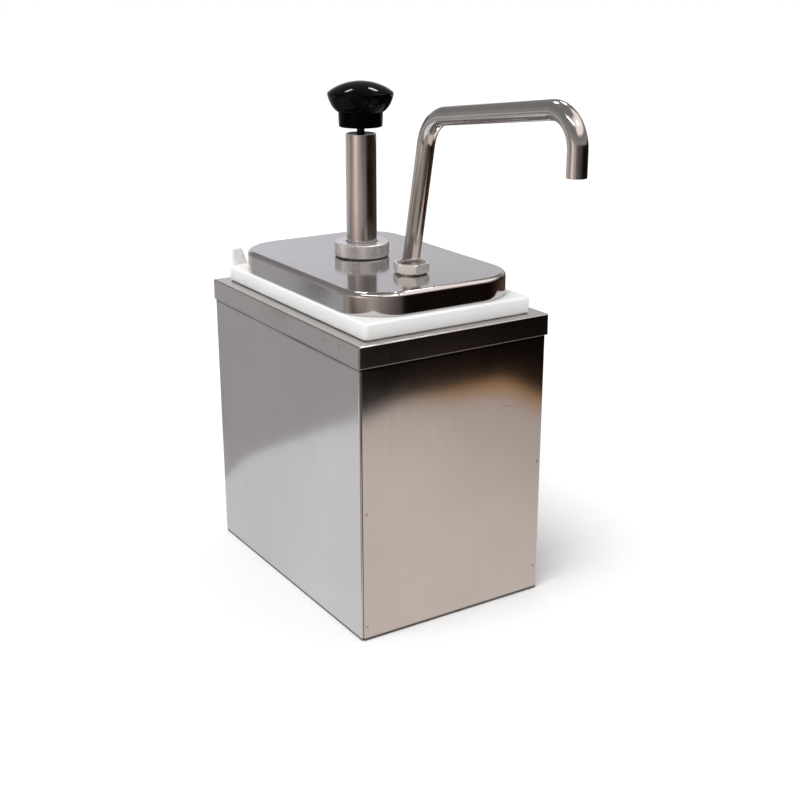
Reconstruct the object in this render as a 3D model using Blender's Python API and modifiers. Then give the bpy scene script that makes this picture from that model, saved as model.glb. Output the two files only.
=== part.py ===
"""Condiment pump dispenser: a steel stand, a white jar, and a lid that carries the pump and its spout.

Metres, +Z up. The origin is the centre of the stand's underside. -Y is the side that the spout points to.
"""

import math

import bmesh
import bpy
from mathutils import Matrix, Vector

# Stand: folded sheet steel
STAND_WIDTH = 0.175
STAND_DEPTH = 0.2505
STAND_HEIGHT = 0.2443
SHEET = 0.0008
FIT_GAP = 0.0003
WALL_FOOT = 0.0012
BEND_RADIUS = 0.0014
RETURN_FLANGE = 0.014
PANEL_INSET = 0.0016
CAP_OVERHANG = 0.0011
CAP_SKIRT = 0.0174
CAP_OPENING = (0.150, 0.228)
CAP_OPENING_RADIUS = 0.022
BASE_FLANGE = 0.012

# Jar: white moulded plastic with a flange that rests on the stand's top frame
JAR_FLANGE = (0.155, 0.233)
JAR_FLANGE_HEIGHT = 0.0132
JAR_FLANGE_RADIUS = 0.004
JAR_EDGE_ROUND = 0.0014
JAR_BODY_TOP = (0.144, 0.222)
JAR_BODY_FOOT = (0.133, 0.211)
JAR_CORNER = 0.020
JAR_WALL = 0.003
JAR_FOOT_Z = 0.088
JAR_RIM = (0.1464, 0.218)
JAR_RIM_HEIGHT = 0.006
LUG_HEIGHT = 0.0145
LUG_TOP_WIDTH = 0.0085
LUG_SLOPE_WIDTH = 0.0055
LUG_THICKNESS = 0.0038
LUG_INSET = 0.003

# Lid: pressed steel pan
LID_SIZE = (0.1514, 0.223)
LID_TOP_Z = 0.2762
LID_CORNER = 0.040
LID_EDGE = 0.0042

# Pump, on a vertical axis
PUMP_AXIS_Y = 0.0165
NECK_RADIUS = 0.018
COLLAR_RADIUS = 0.023
COLLAR_HEIGHT = 0.0113
SLEEVE_RADIUS = 0.0127
SLEEVE_WALL = 0.0015
SLEEVE_TOP_Z = 0.378
CYLINDER_BORE = 0.0155
CYLINDER_WALL = 0.0015
PISTON_RADIUS = 0.0151
PISTON_Z = 0.186
STROKE = 0.040
ROD_RADIUS = 0.00325
VALVE_FLOOR_Z = 0.114
VALVE_FOOT_Z = 0.098
PASSAGE_RADIUS = 0.0035
PASSAGE_Z = 0.1095

# Return spring
SPRING_RADIUS = 0.0115
SPRING_WIRE = 0.001
SPRING_TURNS = 9
SPRING_POINTS_PER_TURN = 10

# Knob
KNOB_BOTTOM_Z = 0.3835
KNOB_NECK_RADIUS = 0.018
KNOB_NECK_TOP_Z = 0.3957
KNOB_RIM_RADIUS = 0.02725
KNOB_RIM_Z = 0.4105
KNOB_TOP_Z = 0.420

# Spout, which swivels on a second vertical axis
SPOUT_AXIS_Y = -0.060
SPOUT_RADIUS = 0.007
SPOUT_WALL = 0.001
SPOUT_FOOT = (-0.059, 0.283)
SPOUT_CORNER_1 = (-0.0847, 0.4007)
SPOUT_CORNER_2 = (-0.2567, 0.4226)
SPOUT_BEND_1 = 0.030
SPOUT_BEND_2 = 0.024
SPOUT_END_Z = 0.378
NUT_CORNER_RADIUS = 0.015
NUT_HEIGHT = 0.0075
NUT_TURN = math.radians(12)
FITTING_RADIUS = 0.010

ROUND_STEPS = 24
FINE_STEPS = 36
TUBE_SIDES = 4
BEND_STEPS = 8

# Heights that follow from the above
CAP_TOP_Z = STAND_HEIGHT
FLANGE_Z = CAP_TOP_Z + FIT_GAP
FLANGE_TOP_Z = FLANGE_Z + JAR_FLANGE_HEIGHT
LID_FOOT_Z = FLANGE_TOP_Z + FIT_GAP
LID_UNDER_Z = LID_TOP_Z - SHEET
GASKET_Z = LID_UNDER_Z - 0.0018
CLAMP_Z = GASKET_Z - FIT_GAP
COLLAR_Z = LID_TOP_Z + 0.0010
COLLAR_TOP_Z = COLLAR_Z + COLLAR_HEIGHT
NUT_Z = LID_TOP_Z + 0.0012

# Colour, roughness and metallic value of each finish
FINISHES = {
    "brushed_steel": ((0.58, 0.55, 0.53), 0.32, 1.0),
    "polished_steel": ((0.66, 0.62, 0.59), 0.14, 1.0),
    "satin_steel": ((0.62, 0.60, 0.58), 0.25, 1.0),
    "white_plastic": ((0.88, 0.88, 0.87), 0.45, 0.0),
    "natural_plastic": ((0.80, 0.79, 0.74), 0.40, 0.0),
    "black_plastic": ((0.010, 0.010, 0.011), 0.10, 0.0),
    "black_steel": ((0.05, 0.05, 0.05), 0.35, 1.0),
    "black_rubber": ((0.03, 0.03, 0.03), 0.60, 0.0),
    "brass": ((0.72, 0.52, 0.24), 0.30, 1.0),
}


def clear_scene():
    for leftover in list(bpy.data.objects):
        bpy.data.objects.remove(leftover, do_unlink=True)


def new_collection(name):
    collection = bpy.data.collections.new(name)
    bpy.context.scene.collection.children.link(collection)
    return collection


clear_scene()
PARTS = new_collection("condiment_pump_dispenser")
CUTTERS = new_collection("cutters")


def finish_material(name, finish):
    """A material of the part's own, with the finish's colour, roughness and metallic value."""
    colour, roughness, metallic = FINISHES[finish]
    material = bpy.data.materials.new(name)
    material.use_nodes = True
    shader = material.node_tree.nodes["Principled BSDF"]
    shader.inputs["Base Color"].default_value = (*colour, 1.0)
    shader.inputs["Roughness"].default_value = roughness
    shader.inputs["Metallic"].default_value = metallic
    material.diffuse_color = (*colour, 1.0)
    return material


def add_object(name, data, finish, parent=None):
    thing = bpy.data.objects.new(name, data)
    PARTS.objects.link(thing)
    data.materials.append(finish_material(name, finish))
    thing.parent = parent
    return thing


def add_helper(name, data, parent=None):
    """A shape that only cuts or joins others."""
    thing = bpy.data.objects.new(name, data)
    CUTTERS.objects.link(thing)
    thing.hide_render = True
    thing.display_type = "WIRE"
    thing.parent = parent
    return thing


def axis_empty(name, y):
    empty = bpy.data.objects.new(name, None)
    PARTS.objects.link(empty)
    empty.location = (0, y, 0)
    return empty


PUMP_AXIS = axis_empty("pump_axis", PUMP_AXIS_Y)
SPOUT_AXIS = axis_empty("spout_axis", SPOUT_AXIS_Y)


def mesh_from(bm, name, smooth_angle=35):
    mesh = bpy.data.meshes.new(name)
    bm.to_mesh(mesh)
    bm.free()
    mesh.shade_smooth()
    mesh.set_sharp_from_angle(angle=math.radians(smooth_angle))
    return mesh


def boolean(thing, other, operation):
    modifier = thing.modifiers.new(f"{operation.lower()} {other.name}", "BOOLEAN")
    modifier.object = other
    modifier.operation = operation
    modifier.solver = "EXACT"


def solidify(thing, thickness):
    modifier = thing.modifiers.new("sheet thickness", "SOLIDIFY")
    modifier.thickness = thickness
    modifier.offset = -1
    modifier.use_even_offset = True


def profile_mesh(name, profile):
    """The profile's edges in the XZ plane, closed unless both ends lie on the axis."""
    closed = profile[0][0] > 0 or profile[-1][0] > 0
    bm = bmesh.new()
    points = [bm.verts.new((radius, 0, height)) for radius, height in profile]
    for first, second in zip(points, points[1:]):
        bm.edges.new((first, second))
    if closed:
        bm.edges.new((points[-1], points[0]))
    mesh = bpy.data.meshes.new(name)
    bm.to_mesh(mesh)
    bm.free()
    return mesh


def spin(thing, steps):
    modifier = thing.modifiers.new("turn", "SCREW")
    modifier.axis = "Z"
    modifier.angle = math.tau
    modifier.steps = steps
    modifier.render_steps = steps
    modifier.use_merge_vertices = True
    modifier.merge_threshold = 0.00001
    modifier.use_smooth_shade = True


def turned(name, profile, finish, axis, steps=ROUND_STEPS):
    """A turned piece. The profile is (radius, height) down the outer side, then up the inner one."""
    thing = add_object(name, profile_mesh(name, profile), finish, axis)
    spin(thing, steps)
    return thing


def turned_helper(name, profile, axis, steps=ROUND_STEPS):
    thing = add_helper(name, profile_mesh(name, profile), axis)
    spin(thing, steps)
    return thing


def ring_profile(outer, inner, low, high):
    return [(outer, high), (outer, low), (inner, low), (inner, high)]


def rod_profile(radius, low, high):
    return [(0, high), (radius, high), (radius, low), (0, low)]


def rounded_box(size, low, high, corner, edge=0.0, foot_size=None, drop_face=None):
    """A box with round upright corners and an optional round top edge.

    foot_size gives the box draft. drop_face, "top" or "bottom", leaves that side open.
    """
    bm = bmesh.new()
    scale = Matrix.Diagonal((size[0], size[1], high - low, 1))
    middle = Matrix.Translation((0, 0, (high + low) / 2))
    bmesh.ops.create_cube(bm, size=1, matrix=middle @ scale)
    if foot_size:
        for vert in bm.verts:
            if vert.co.z < middle.translation.z:
                vert.co.x *= foot_size[0] / size[0]
                vert.co.y *= foot_size[1] / size[1]
    upright = [e for e in bm.edges if abs(e.verts[0].co.z - e.verts[1].co.z) > (high - low) / 2]
    bmesh.ops.bevel(
        bm, geom=upright, offset=corner, segments=6, profile=0.5, affect="EDGES", clamp_overlap=True
    )
    if drop_face:
        sign = 1 if drop_face == "top" else -1
        lids = [f for f in bm.faces if f.normal.z * sign > 0.9]
        bmesh.ops.delete(bm, geom=lids, context="FACES_ONLY")
    if edge > 0:
        level = low if drop_face == "top" else high
        outline = [e for e in bm.edges if all(abs(v.co.z - level) < 1e-6 for v in e.verts)]
        bmesh.ops.bevel(bm, geom=outline, offset=edge, segments=3, profile=0.5, affect="EDGES")
    bmesh.ops.recalc_face_normals(bm, faces=bm.faces)
    return bm


def plain_box(low, high):
    bm = bmesh.new()
    low = Vector(low)
    high = Vector(high)
    scale = Matrix.Diagonal((*(high - low), 1))
    bmesh.ops.create_cube(bm, size=1, matrix=Matrix.Translation((low + high) / 2) @ scale)
    return bm


def round_bar(start, end, radius, segments=16):
    """A cylinder between two points."""
    start = Vector(start)
    run = Vector(end) - start
    turn = run.to_track_quat("Z", "Y").to_matrix().to_4x4()
    place = Matrix.Translation(start + run / 2) @ turn
    bm = bmesh.new()
    bmesh.ops.create_cone(
        bm,
        cap_ends=True,
        segments=segments,
        radius1=radius,
        radius2=radius,
        depth=run.length,
        matrix=place,
    )
    return bm


def filleted_path(corners, radii, steps=BEND_STEPS):
    """Points along straight runs, with an arc of the given radius at each inner corner."""
    corners = [Vector(c) for c in corners]
    path = [corners[0]]
    for before, corner, after, radius in zip(corners, corners[1:], corners[2:], radii):
        back = (before - corner).normalized()
        ahead = (after - corner).normalized()
        half = back.angle(ahead) / 2
        centre = corner + (back + ahead).normalized() * radius / math.sin(half)
        start = corner + back * radius / math.tan(half)
        swing = math.pi - 2 * half
        axis = (start - centre).cross(corner - centre).normalized()
        for i in range(steps + 1):
            path.append(centre + Matrix.Rotation(swing * i / steps, 3, axis) @ (start - centre))
    path.append(corners[-1])
    return path


def tube_curve(name, path, radius, sides=TUBE_SIDES, caps=True):
    curve = bpy.data.curves.new(name, "CURVE")
    curve.dimensions = "3D"
    curve.bevel_depth = radius
    curve.bevel_resolution = sides
    curve.use_fill_caps = caps
    spline = curve.splines.new("POLY")
    spline.points.add(len(path) - 1)
    for point, place in zip(spline.points, path):
        point.co = (*place, 1)
    return curve


def mesh_of_curve(curve):
    """The curve's surface as a mesh, with the curve itself removed."""
    holder = bpy.data.objects.new(curve.name, curve)
    bpy.context.scene.collection.objects.link(holder)
    graph = bpy.context.evaluated_depsgraph_get()
    mesh = bpy.data.meshes.new_from_object(holder.evaluated_get(graph))
    bpy.data.objects.remove(holder)
    bm = bmesh.new()
    bm.from_mesh(mesh)
    bmesh.ops.remove_doubles(bm, verts=bm.verts, dist=0.00001)
    bmesh.ops.recalc_face_normals(bm, faces=bm.faces)
    bm.to_mesh(mesh)
    bm.free()
    mesh.materials.clear()
    mesh.shade_smooth()
    return mesh


# ---- stand ----------------------------------------------------------------------------------


def folded_sheet(name, corners, low, high, finish):
    """A sheet that stands on edge and follows the corners with small bends."""
    radii = [BEND_RADIUS] * (len(corners) - 2)
    path = filleted_path([(x, y, low) for x, y in corners], radii, 3)
    bm = bmesh.new()
    foot = [bm.verts.new(p) for p in path]
    head = [bm.verts.new((p.x, p.y, high)) for p in path]
    for i in range(len(path) - 1):
        bm.faces.new((foot[i], foot[i + 1], head[i + 1], head[i]))
    thing = add_object(name, mesh_from(bm, name), finish)
    solidify(thing, SHEET)
    return thing


def make_stand_wrap():
    """Left, back and right walls in one sheet, with flanges turned in behind the front panel."""
    side = STAND_WIDTH / 2
    back = STAND_DEPTH / 2
    front = -back + SHEET + FIT_GAP
    corners = [
        (-side + RETURN_FLANGE, front),
        (-side, front),
        (-side, back),
        (side, back),
        (side, front),
        (side - RETURN_FLANGE, front),
    ]
    corners.reverse()
    folded_sheet("stand_wrap", corners, WALL_FOOT, CAP_TOP_Z - SHEET - FIT_GAP, "brushed_steel")


def make_front_panel():
    """A flat sheet on the wrap's flanges. It stops short of the wrap's two front bends."""
    side = STAND_WIDTH / 2 - PANEL_INSET
    front = -STAND_DEPTH / 2
    low = (-side, front, WALL_FOOT)
    high = (side, front + SHEET, CAP_TOP_Z - SHEET - FIT_GAP)
    add_object("front_panel", mesh_from(plain_box(low, high), "front_panel"), "brushed_steel")


def make_top_frame():
    size = (STAND_WIDTH + 2 * CAP_OVERHANG, STAND_DEPTH + 2 * CAP_OVERHANG)
    shell = rounded_box(size, CAP_TOP_Z - CAP_SKIRT, CAP_TOP_Z, 0.0011, 0.0009, drop_face="bottom")
    frame = add_object("top_frame", mesh_from(shell, "top_frame"), "brushed_steel")
    solidify(frame, SHEET)
    hole = rounded_box(CAP_OPENING, CAP_TOP_Z - 0.005, CAP_TOP_Z + 0.005, CAP_OPENING_RADIUS)
    boolean(frame, add_helper("frame_opening", mesh_from(hole, "frame_opening")), "DIFFERENCE")


def make_base_plate():
    """A shallow pan whose flange stands inside the walls and whose underside is the foot."""
    inset = SHEET + FIT_GAP
    front = -STAND_DEPTH / 2 + 2 * inset + FIT_GAP
    back = STAND_DEPTH / 2 - inset
    size = (STAND_WIDTH - 2 * inset, back - front)
    pan = rounded_box(size, 0, BASE_FLANGE, 0.0016, 0.0012, drop_face="top")
    plate = add_object("base_plate", mesh_from(pan, "base_plate"), "satin_steel")
    plate.location = (0, (front + back) / 2, 0)
    solidify(plate, SHEET)


# ---- jar ------------------------------------------------------------------------------------


def lug_outline(side):
    """The lug seen from the front, as (x, height above the flange)."""
    outer = JAR_FLANGE[0] / 2 - LUG_INSET
    inner = outer - LUG_TOP_WIDTH
    foot = inner - LUG_SLOPE_WIDTH
    sunk = -JAR_FLANGE_HEIGHT / 2
    outline = [(outer, sunk), (outer, LUG_HEIGHT), (inner, LUG_HEIGHT), (foot, 0), (foot, sunk)]
    return [(side * x, z) for x, z in outline]


def make_lug(side, name):
    rear = JAR_FLANGE[1] / 2
    bm = bmesh.new()
    face = [bm.verts.new((x, rear, FLANGE_TOP_Z + z)) for x, z in lug_outline(side)]
    bm.faces.new(face)
    grown = bmesh.ops.extrude_face_region(bm, geom=bm.faces[:])
    moved = [v for v in grown["geom"] if isinstance(v, bmesh.types.BMVert)]
    bmesh.ops.translate(bm, verts=moved, vec=(0, -LUG_THICKNESS, 0))
    bmesh.ops.recalc_face_normals(bm, faces=bm.faces)
    return add_helper(name, mesh_from(bm, name))


def make_jar():
    flange = rounded_box(JAR_FLANGE, FLANGE_Z, FLANGE_TOP_Z, JAR_FLANGE_RADIUS, JAR_EDGE_ROUND)
    jar = add_object("jar", mesh_from(flange, "jar"), "white_plastic")
    body = rounded_box(
        JAR_BODY_TOP, JAR_FOOT_Z, FLANGE_Z + 0.002, JAR_CORNER, foot_size=JAR_BODY_FOOT
    )
    boolean(jar, add_helper("jar_body", mesh_from(body, "jar_body")), "UNION")
    rim = rounded_box(JAR_RIM, FLANGE_Z + 0.003, FLANGE_TOP_Z + JAR_RIM_HEIGHT, JAR_CORNER + 0.014)
    boolean(jar, add_helper("jar_rim", mesh_from(rim, "jar_rim")), "UNION")
    boolean(jar, make_lug(-1, "jar_lug_left"), "UNION")
    boolean(jar, make_lug(1, "jar_lug_right"), "UNION")
    narrower = 2 * JAR_WALL
    cavity_top = (JAR_BODY_TOP[0] - narrower, JAR_BODY_TOP[1] - narrower)
    cavity_foot = (JAR_BODY_FOOT[0] - narrower, JAR_BODY_FOOT[1] - narrower)
    cavity = rounded_box(
        cavity_top,
        JAR_FOOT_Z + JAR_WALL,
        FLANGE_TOP_Z + 0.012,
        JAR_CORNER - JAR_WALL,
        foot_size=cavity_foot,
    )
    boolean(jar, add_helper("jar_cavity", mesh_from(cavity, "jar_cavity")), "DIFFERENCE")


# ---- lid and the pieces clamped to it ---------------------------------------------------------


def hole_through_lid(lid, name, axis, radius):
    hole = turned_helper(name, rod_profile(radius, LID_TOP_Z - 0.005, LID_TOP_Z + 0.005), axis)
    boolean(lid, hole, "DIFFERENCE")


def make_lid():
    pan = rounded_box(LID_SIZE, LID_FOOT_Z, LID_TOP_Z, LID_CORNER, LID_EDGE, drop_face="bottom")
    lid = add_object("lid", mesh_from(pan, "lid"), "polished_steel")
    solidify(lid, SHEET)
    hole_through_lid(lid, "pump_hole", PUMP_AXIS, NECK_RADIUS + 0.0004)
    hole_through_lid(lid, "outlet_hole", SPOUT_AXIS, FITTING_RADIUS + 0.0004)


def make_gaskets():
    pump = ring_profile(0.024, NECK_RADIUS + 0.0004, GASKET_Z, LID_UNDER_Z - FIT_GAP)
    turned("pump_gasket", pump, "black_rubber", PUMP_AXIS)
    outlet = ring_profile(0.014, FITTING_RADIUS + 0.0004, GASKET_Z, LID_UNDER_Z - FIT_GAP)
    turned("outlet_gasket", outlet, "black_rubber", SPOUT_AXIS)


def make_pump_head():
    """The flanged neck under the lid: the collar screws on it, the cylinder hangs from it."""
    socket_radius = CYLINDER_BORE + CYLINDER_WALL + FIT_GAP
    top = COLLAR_TOP_Z - 0.0031
    profile = [
        (NECK_RADIUS - 0.0006, top),
        (NECK_RADIUS, top - 0.0006),
        (NECK_RADIUS, CLAMP_Z),
        (0.025, CLAMP_Z),
        (0.025, CLAMP_Z - 0.004),
        (0.020, CLAMP_Z - 0.004),
        (0.020, CLAMP_Z - 0.0125),
        (socket_radius, CLAMP_Z - 0.0125),
        (socket_radius, CLAMP_Z - 0.004),
        (0.0135, CLAMP_Z - 0.004),
        (0.0135, CLAMP_Z - 0.0013),
        (0.0157, CLAMP_Z - 0.0013),
        (0.0157, top),
    ]
    turned("pump_head", profile, "satin_steel", PUMP_AXIS)
    bush = ring_profile(0.0154, 0.013, CLAMP_Z - 0.001, top - 0.0003)
    turned("guide_bush", bush, "natural_plastic", PUMP_AXIS)


def make_cylinder():
    outer = CYLINDER_BORE + CYLINDER_WALL
    foot = VALVE_FLOOR_Z + 0.0016
    tube = ring_profile(outer, CYLINDER_BORE, foot, CLAMP_Z - 0.0043)
    turned("cylinder", tube, "satin_steel", PUMP_AXIS)
    seal = ring_profile(outer, CYLINDER_BORE, VALVE_FLOOR_Z + FIT_GAP, foot - FIT_GAP)
    turned("cylinder_gasket", seal, "black_rubber", PUMP_AXIS)


def make_valve_body():
    """The foot casting: inlet chamber under the cylinder, a drilled arm, and the outlet chamber."""
    cup_top = VALVE_FLOOR_Z + 0.014
    outer = 0.021
    cup = [
        (0, cup_top),
        (outer, cup_top),
        (outer, VALVE_FOOT_Z + 0.002),
        (outer - 0.002, VALVE_FOOT_Z),
        (0, VALVE_FOOT_Z),
    ]
    body = turned("valve_body", cup, "satin_steel", PUMP_AXIS)
    run = SPOUT_AXIS_Y - PUMP_AXIS_Y
    arm = plain_box((-0.007, run, PASSAGE_Z - 0.0075), (0.007, 0, PASSAGE_Z + 0.0075))
    boolean(body, add_helper("valve_arm", mesh_from(arm, "valve_arm"), PUMP_AXIS), "UNION")
    tower = turned_helper("outlet_tower", rod_profile(0.012, PASSAGE_Z - 0.0085, 0.136), SPOUT_AXIS)
    boolean(body, tower, "UNION")
    bore = CYLINDER_BORE + CYLINDER_WALL + FIT_GAP
    chamber = [
        (0, cup_top + 0.002),
        (bore, cup_top + 0.002),
        (bore, VALVE_FLOOR_Z),
        (0.008, VALVE_FLOOR_Z),
        (0.008, 0.1045),
        (0.0093, 0.1045),
        (0.0093, VALVE_FOOT_Z - 0.002),
        (0, VALVE_FOOT_Z - 0.002),
    ]
    boolean(body, turned_helper("inlet_chamber", chamber, PUMP_AXIS), "DIFFERENCE")
    drilling = round_bar((0, -0.005, PASSAGE_Z), (0, run - 0.014, PASSAGE_Z), PASSAGE_RADIUS)
    passage = add_helper("passage_drilling", mesh_from(drilling, "passage_drilling"), PUMP_AXIS)
    boolean(body, passage, "DIFFERENCE")
    outlet = [
        (0, 0.138),
        (0.0074, 0.138),
        (0.0074, 0.1165),
        (PASSAGE_RADIUS, 0.1165),
        (PASSAGE_RADIUS, PASSAGE_Z),
        (0, PASSAGE_Z),
    ]
    boolean(body, turned_helper("outlet_chamber", outlet, SPOUT_AXIS), "DIFFERENCE")


def make_passage_plug():
    """Closes the end of the drilled passage. Its head has a slot."""
    shank = round_bar((0, -0.0055, PASSAGE_Z), (0, -0.0125, PASSAGE_Z), PASSAGE_RADIUS - 0.0003)
    plug = add_object("passage_plug", mesh_from(shank, "passage_plug"), "satin_steel", SPOUT_AXIS)
    head = round_bar((0, -0.0123, PASSAGE_Z), (0, -0.0148, PASSAGE_Z), 0.0055)
    boolean(plug, add_helper("plug_head", mesh_from(head, "plug_head"), SPOUT_AXIS), "UNION")
    slot = plain_box((-0.0005, -0.016, PASSAGE_Z - 0.007), (0.0005, -0.0138, PASSAGE_Z + 0.007))
    boolean(plug, add_helper("plug_slot", mesh_from(slot, "plug_slot"), SPOUT_AXIS), "DIFFERENCE")


def ball(name, axis, radius, height):
    bm = bmesh.new()
    place = Matrix.Translation((0, 0, height))
    bmesh.ops.create_uvsphere(bm, u_segments=16, v_segments=10, radius=radius, matrix=place)
    add_object(name, mesh_from(bm, name, 180), "polished_steel", axis)


def make_valves():
    """Both check valves: a ball on a seat, each lifting by a few millimetres."""
    seat_top = 0.1038
    seat = [
        (0.009, seat_top),
        (0.009, VALVE_FOOT_Z - 0.0003),
        (0.012, VALVE_FOOT_Z - 0.0003),
        (0.012, VALVE_FOOT_Z - 0.0025),
        (0.0055, VALVE_FOOT_Z - 0.0025),
        (0.004, VALVE_FOOT_Z - 0.001),
        (0.004, seat_top),
    ]
    turned("inlet_seat", seat, "satin_steel", PUMP_AXIS)
    ball("inlet_ball", PUMP_AXIS, 0.0055, seat_top + 0.0041)
    ball("outlet_ball", SPOUT_AXIS, 0.00525, 0.1207)
    stop = round_bar((-0.0065, 0, 0.1335), (0.0065, 0, 0.1335), 0.001, 12)
    add_object("outlet_stop_pin", mesh_from(stop, "outlet_stop_pin"), "polished_steel", SPOUT_AXIS)


def make_spring_seat():
    """A perforated disc on a short skirt. It carries the spring and stops the inlet ball."""
    top = VALVE_FLOOR_Z + 0.0047
    under = top - 0.0015
    radius = 0.0152
    profile = [
        (0, top),
        (radius, top),
        (radius, VALVE_FLOOR_Z + FIT_GAP),
        (radius - 0.002, VALVE_FLOOR_Z + FIT_GAP),
        (radius - 0.002, under),
        (0, under),
    ]
    seat = turned("spring_seat", profile, "satin_steel", PUMP_AXIS)
    for i in range(4):
        angle = math.pi / 4 + i * math.pi / 2
        x = 0.0068 * math.cos(angle)
        y = 0.0068 * math.sin(angle)
        name = f"spring_seat_hole_{i + 1}"
        hole = round_bar((x, y, under - 0.002), (x, y, top + 0.002), 0.0024, 12)
        boolean(seat, add_helper(name, mesh_from(hole, name), PUMP_AXIS), "DIFFERENCE")
    return top


def make_riser():
    """The straight tube from the outlet chamber up to the lid's fitting, cross-drilled for a pin."""
    tube = ring_profile(SPOUT_RADIUS, SPOUT_RADIUS - SPOUT_WALL, 0.130, 0.2577)
    riser = turned("riser_tube", tube, "satin_steel", SPOUT_AXIS)
    drill = round_bar((-0.009, 0, 0.1335), (0.009, 0, 0.1335), 0.0013, 12)
    name = "riser_cross_hole"
    boolean(riser, add_helper(name, mesh_from(drill, name), SPOUT_AXIS), "DIFFERENCE")


def make_outlet_fitting():
    """The flanged fitting under the lid. The riser enters it below, the spout's ferrule above."""
    neck_top = NUT_Z + 0.0042
    profile = [
        (FITTING_RADIUS - 0.0005, neck_top),
        (FITTING_RADIUS, neck_top - 0.0005),
        (FITTING_RADIUS, CLAMP_Z),
        (0.015, CLAMP_Z),
        (0.015, CLAMP_Z - 0.004),
        (FITTING_RADIUS, CLAMP_Z - 0.004),
        (FITTING_RADIUS, 0.250),
        (0.0074, 0.250),
        (0.0074, 0.258),
        (0.006, 0.258),
        (0.006, 0.264),
        (0.0085, 0.264),
        (0.0085, neck_top),
    ]
    turned("outlet_fitting", profile, "satin_steel", SPOUT_AXIS)


# ---- pieces screwed on above the lid ------------------------------------------------------------


def make_collar():
    washer = ring_profile(0.0222, NECK_RADIUS + 0.0004, LID_TOP_Z + FIT_GAP, COLLAR_Z - FIT_GAP)
    turned("collar_washer", washer, "black_rubber", PUMP_AXIS)
    profile = [
        (COLLAR_RADIUS - 0.0008, COLLAR_TOP_Z),
        (COLLAR_RADIUS, COLLAR_TOP_Z - 0.0008),
        (COLLAR_RADIUS, COLLAR_Z + 0.0005),
        (COLLAR_RADIUS - 0.0005, COLLAR_Z),
        (NECK_RADIUS + 0.0004, COLLAR_Z),
        (NECK_RADIUS + 0.0004, COLLAR_TOP_Z - 0.0027),
        (0.0134, COLLAR_TOP_Z - 0.0027),
        (0.0134, COLLAR_TOP_Z),
    ]
    turned("collar", profile, "polished_steel", PUMP_AXIS, FINE_STEPS)


def make_spout_nut():
    bore = FITTING_RADIUS + 0.0004
    washer = ring_profile(0.0128, bore, LID_TOP_Z + FIT_GAP, NUT_Z - FIT_GAP)
    turned("spout_washer", washer, "polished_steel", SPOUT_AXIS)
    bm = bmesh.new()
    turn = Matrix.Rotation(NUT_TURN - math.pi / 6, 4, "Z")
    place = Matrix.Translation((0, 0, NUT_Z + NUT_HEIGHT / 2)) @ turn
    bmesh.ops.create_cone(
        bm,
        cap_ends=True,
        segments=6,
        radius1=NUT_CORNER_RADIUS,
        radius2=NUT_CORNER_RADIUS,
        depth=NUT_HEIGHT,
        matrix=place,
    )
    nut = add_object("spout_nut", mesh_from(bm, "spout_nut"), "polished_steel", SPOUT_AXIS)
    hollow = [
        (0, NUT_Z + NUT_HEIGHT + 0.002),
        (0.0112, NUT_Z + NUT_HEIGHT + 0.002),
        (0.0112, NUT_Z + 0.004),
        (bore, NUT_Z + 0.003),
        (bore, NUT_Z - 0.002),
        (0, NUT_Z - 0.002),
    ]
    boolean(nut, turned_helper("nut_bore", hollow, SPOUT_AXIS), "DIFFERENCE")


# ---- spout ----------------------------------------------------------------------------------


def make_spout():
    """The bent tube stands on a ferrule that turns in the outlet fitting on an O-ring."""
    lean = Vector((0, *SPOUT_FOOT)) - Vector((0, *SPOUT_CORNER_1))
    start = Vector((0, *SPOUT_FOOT)) + lean.normalized() * 0.006
    corners = [
        start,
        Vector((0, *SPOUT_CORNER_1)),
        Vector((0, *SPOUT_CORNER_2)),
        Vector((0, SPOUT_CORNER_2[0], SPOUT_END_Z)),
    ]
    path = filleted_path(corners, [SPOUT_BEND_1, SPOUT_BEND_2])
    local = [p - Vector((0, SPOUT_AXIS_Y, 0)) for p in path]
    skin = mesh_of_curve(tube_curve("spout_skin", local, SPOUT_RADIUS, caps=False))
    tube = add_object("spout_tube", skin, "polished_steel", SPOUT_AXIS)
    solidify(tube, SPOUT_WALL)
    joint_z = SPOUT_FOOT[1] + FIT_GAP
    below = plain_box((-0.02, -0.02, joint_z - 0.02), (0.02, 0.02, joint_z))
    cutter = add_helper("spout_foot_cut", mesh_from(below, "spout_foot_cut"), SPOUT_AXIS)
    boolean(tube, cutter, "DIFFERENCE")


def make_spout_ferrule():
    top = SPOUT_FOOT[1]
    groove_z = 0.2705
    outer = 0.0081
    profile = [
        (outer, top),
        (outer, groove_z + 0.0012),
        (0.0063, groove_z + 0.0012),
        (0.0063, groove_z - 0.0012),
        (outer, groove_z - 0.0012),
        (outer, 0.2643),
        (0.0050, 0.2643),
        (0.0050, top),
    ]
    turned("spout_ferrule", profile, "polished_steel", SPOUT_AXIS)
    seal = ring_section(0.00735, 0.00085, groove_z)
    turned("spout_oring", seal, "black_rubber", SPOUT_AXIS)


def ring_section(major, minor, height, points=8):
    """A round section for an O-ring, starting at its top and running down the outer side."""
    angles = [math.pi / 2 - math.tau * i / points for i in range(points)]
    return [(major + minor * math.cos(a), height + minor * math.sin(a)) for a in angles]


# ---- plunger --------------------------------------------------------------------------------


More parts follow.
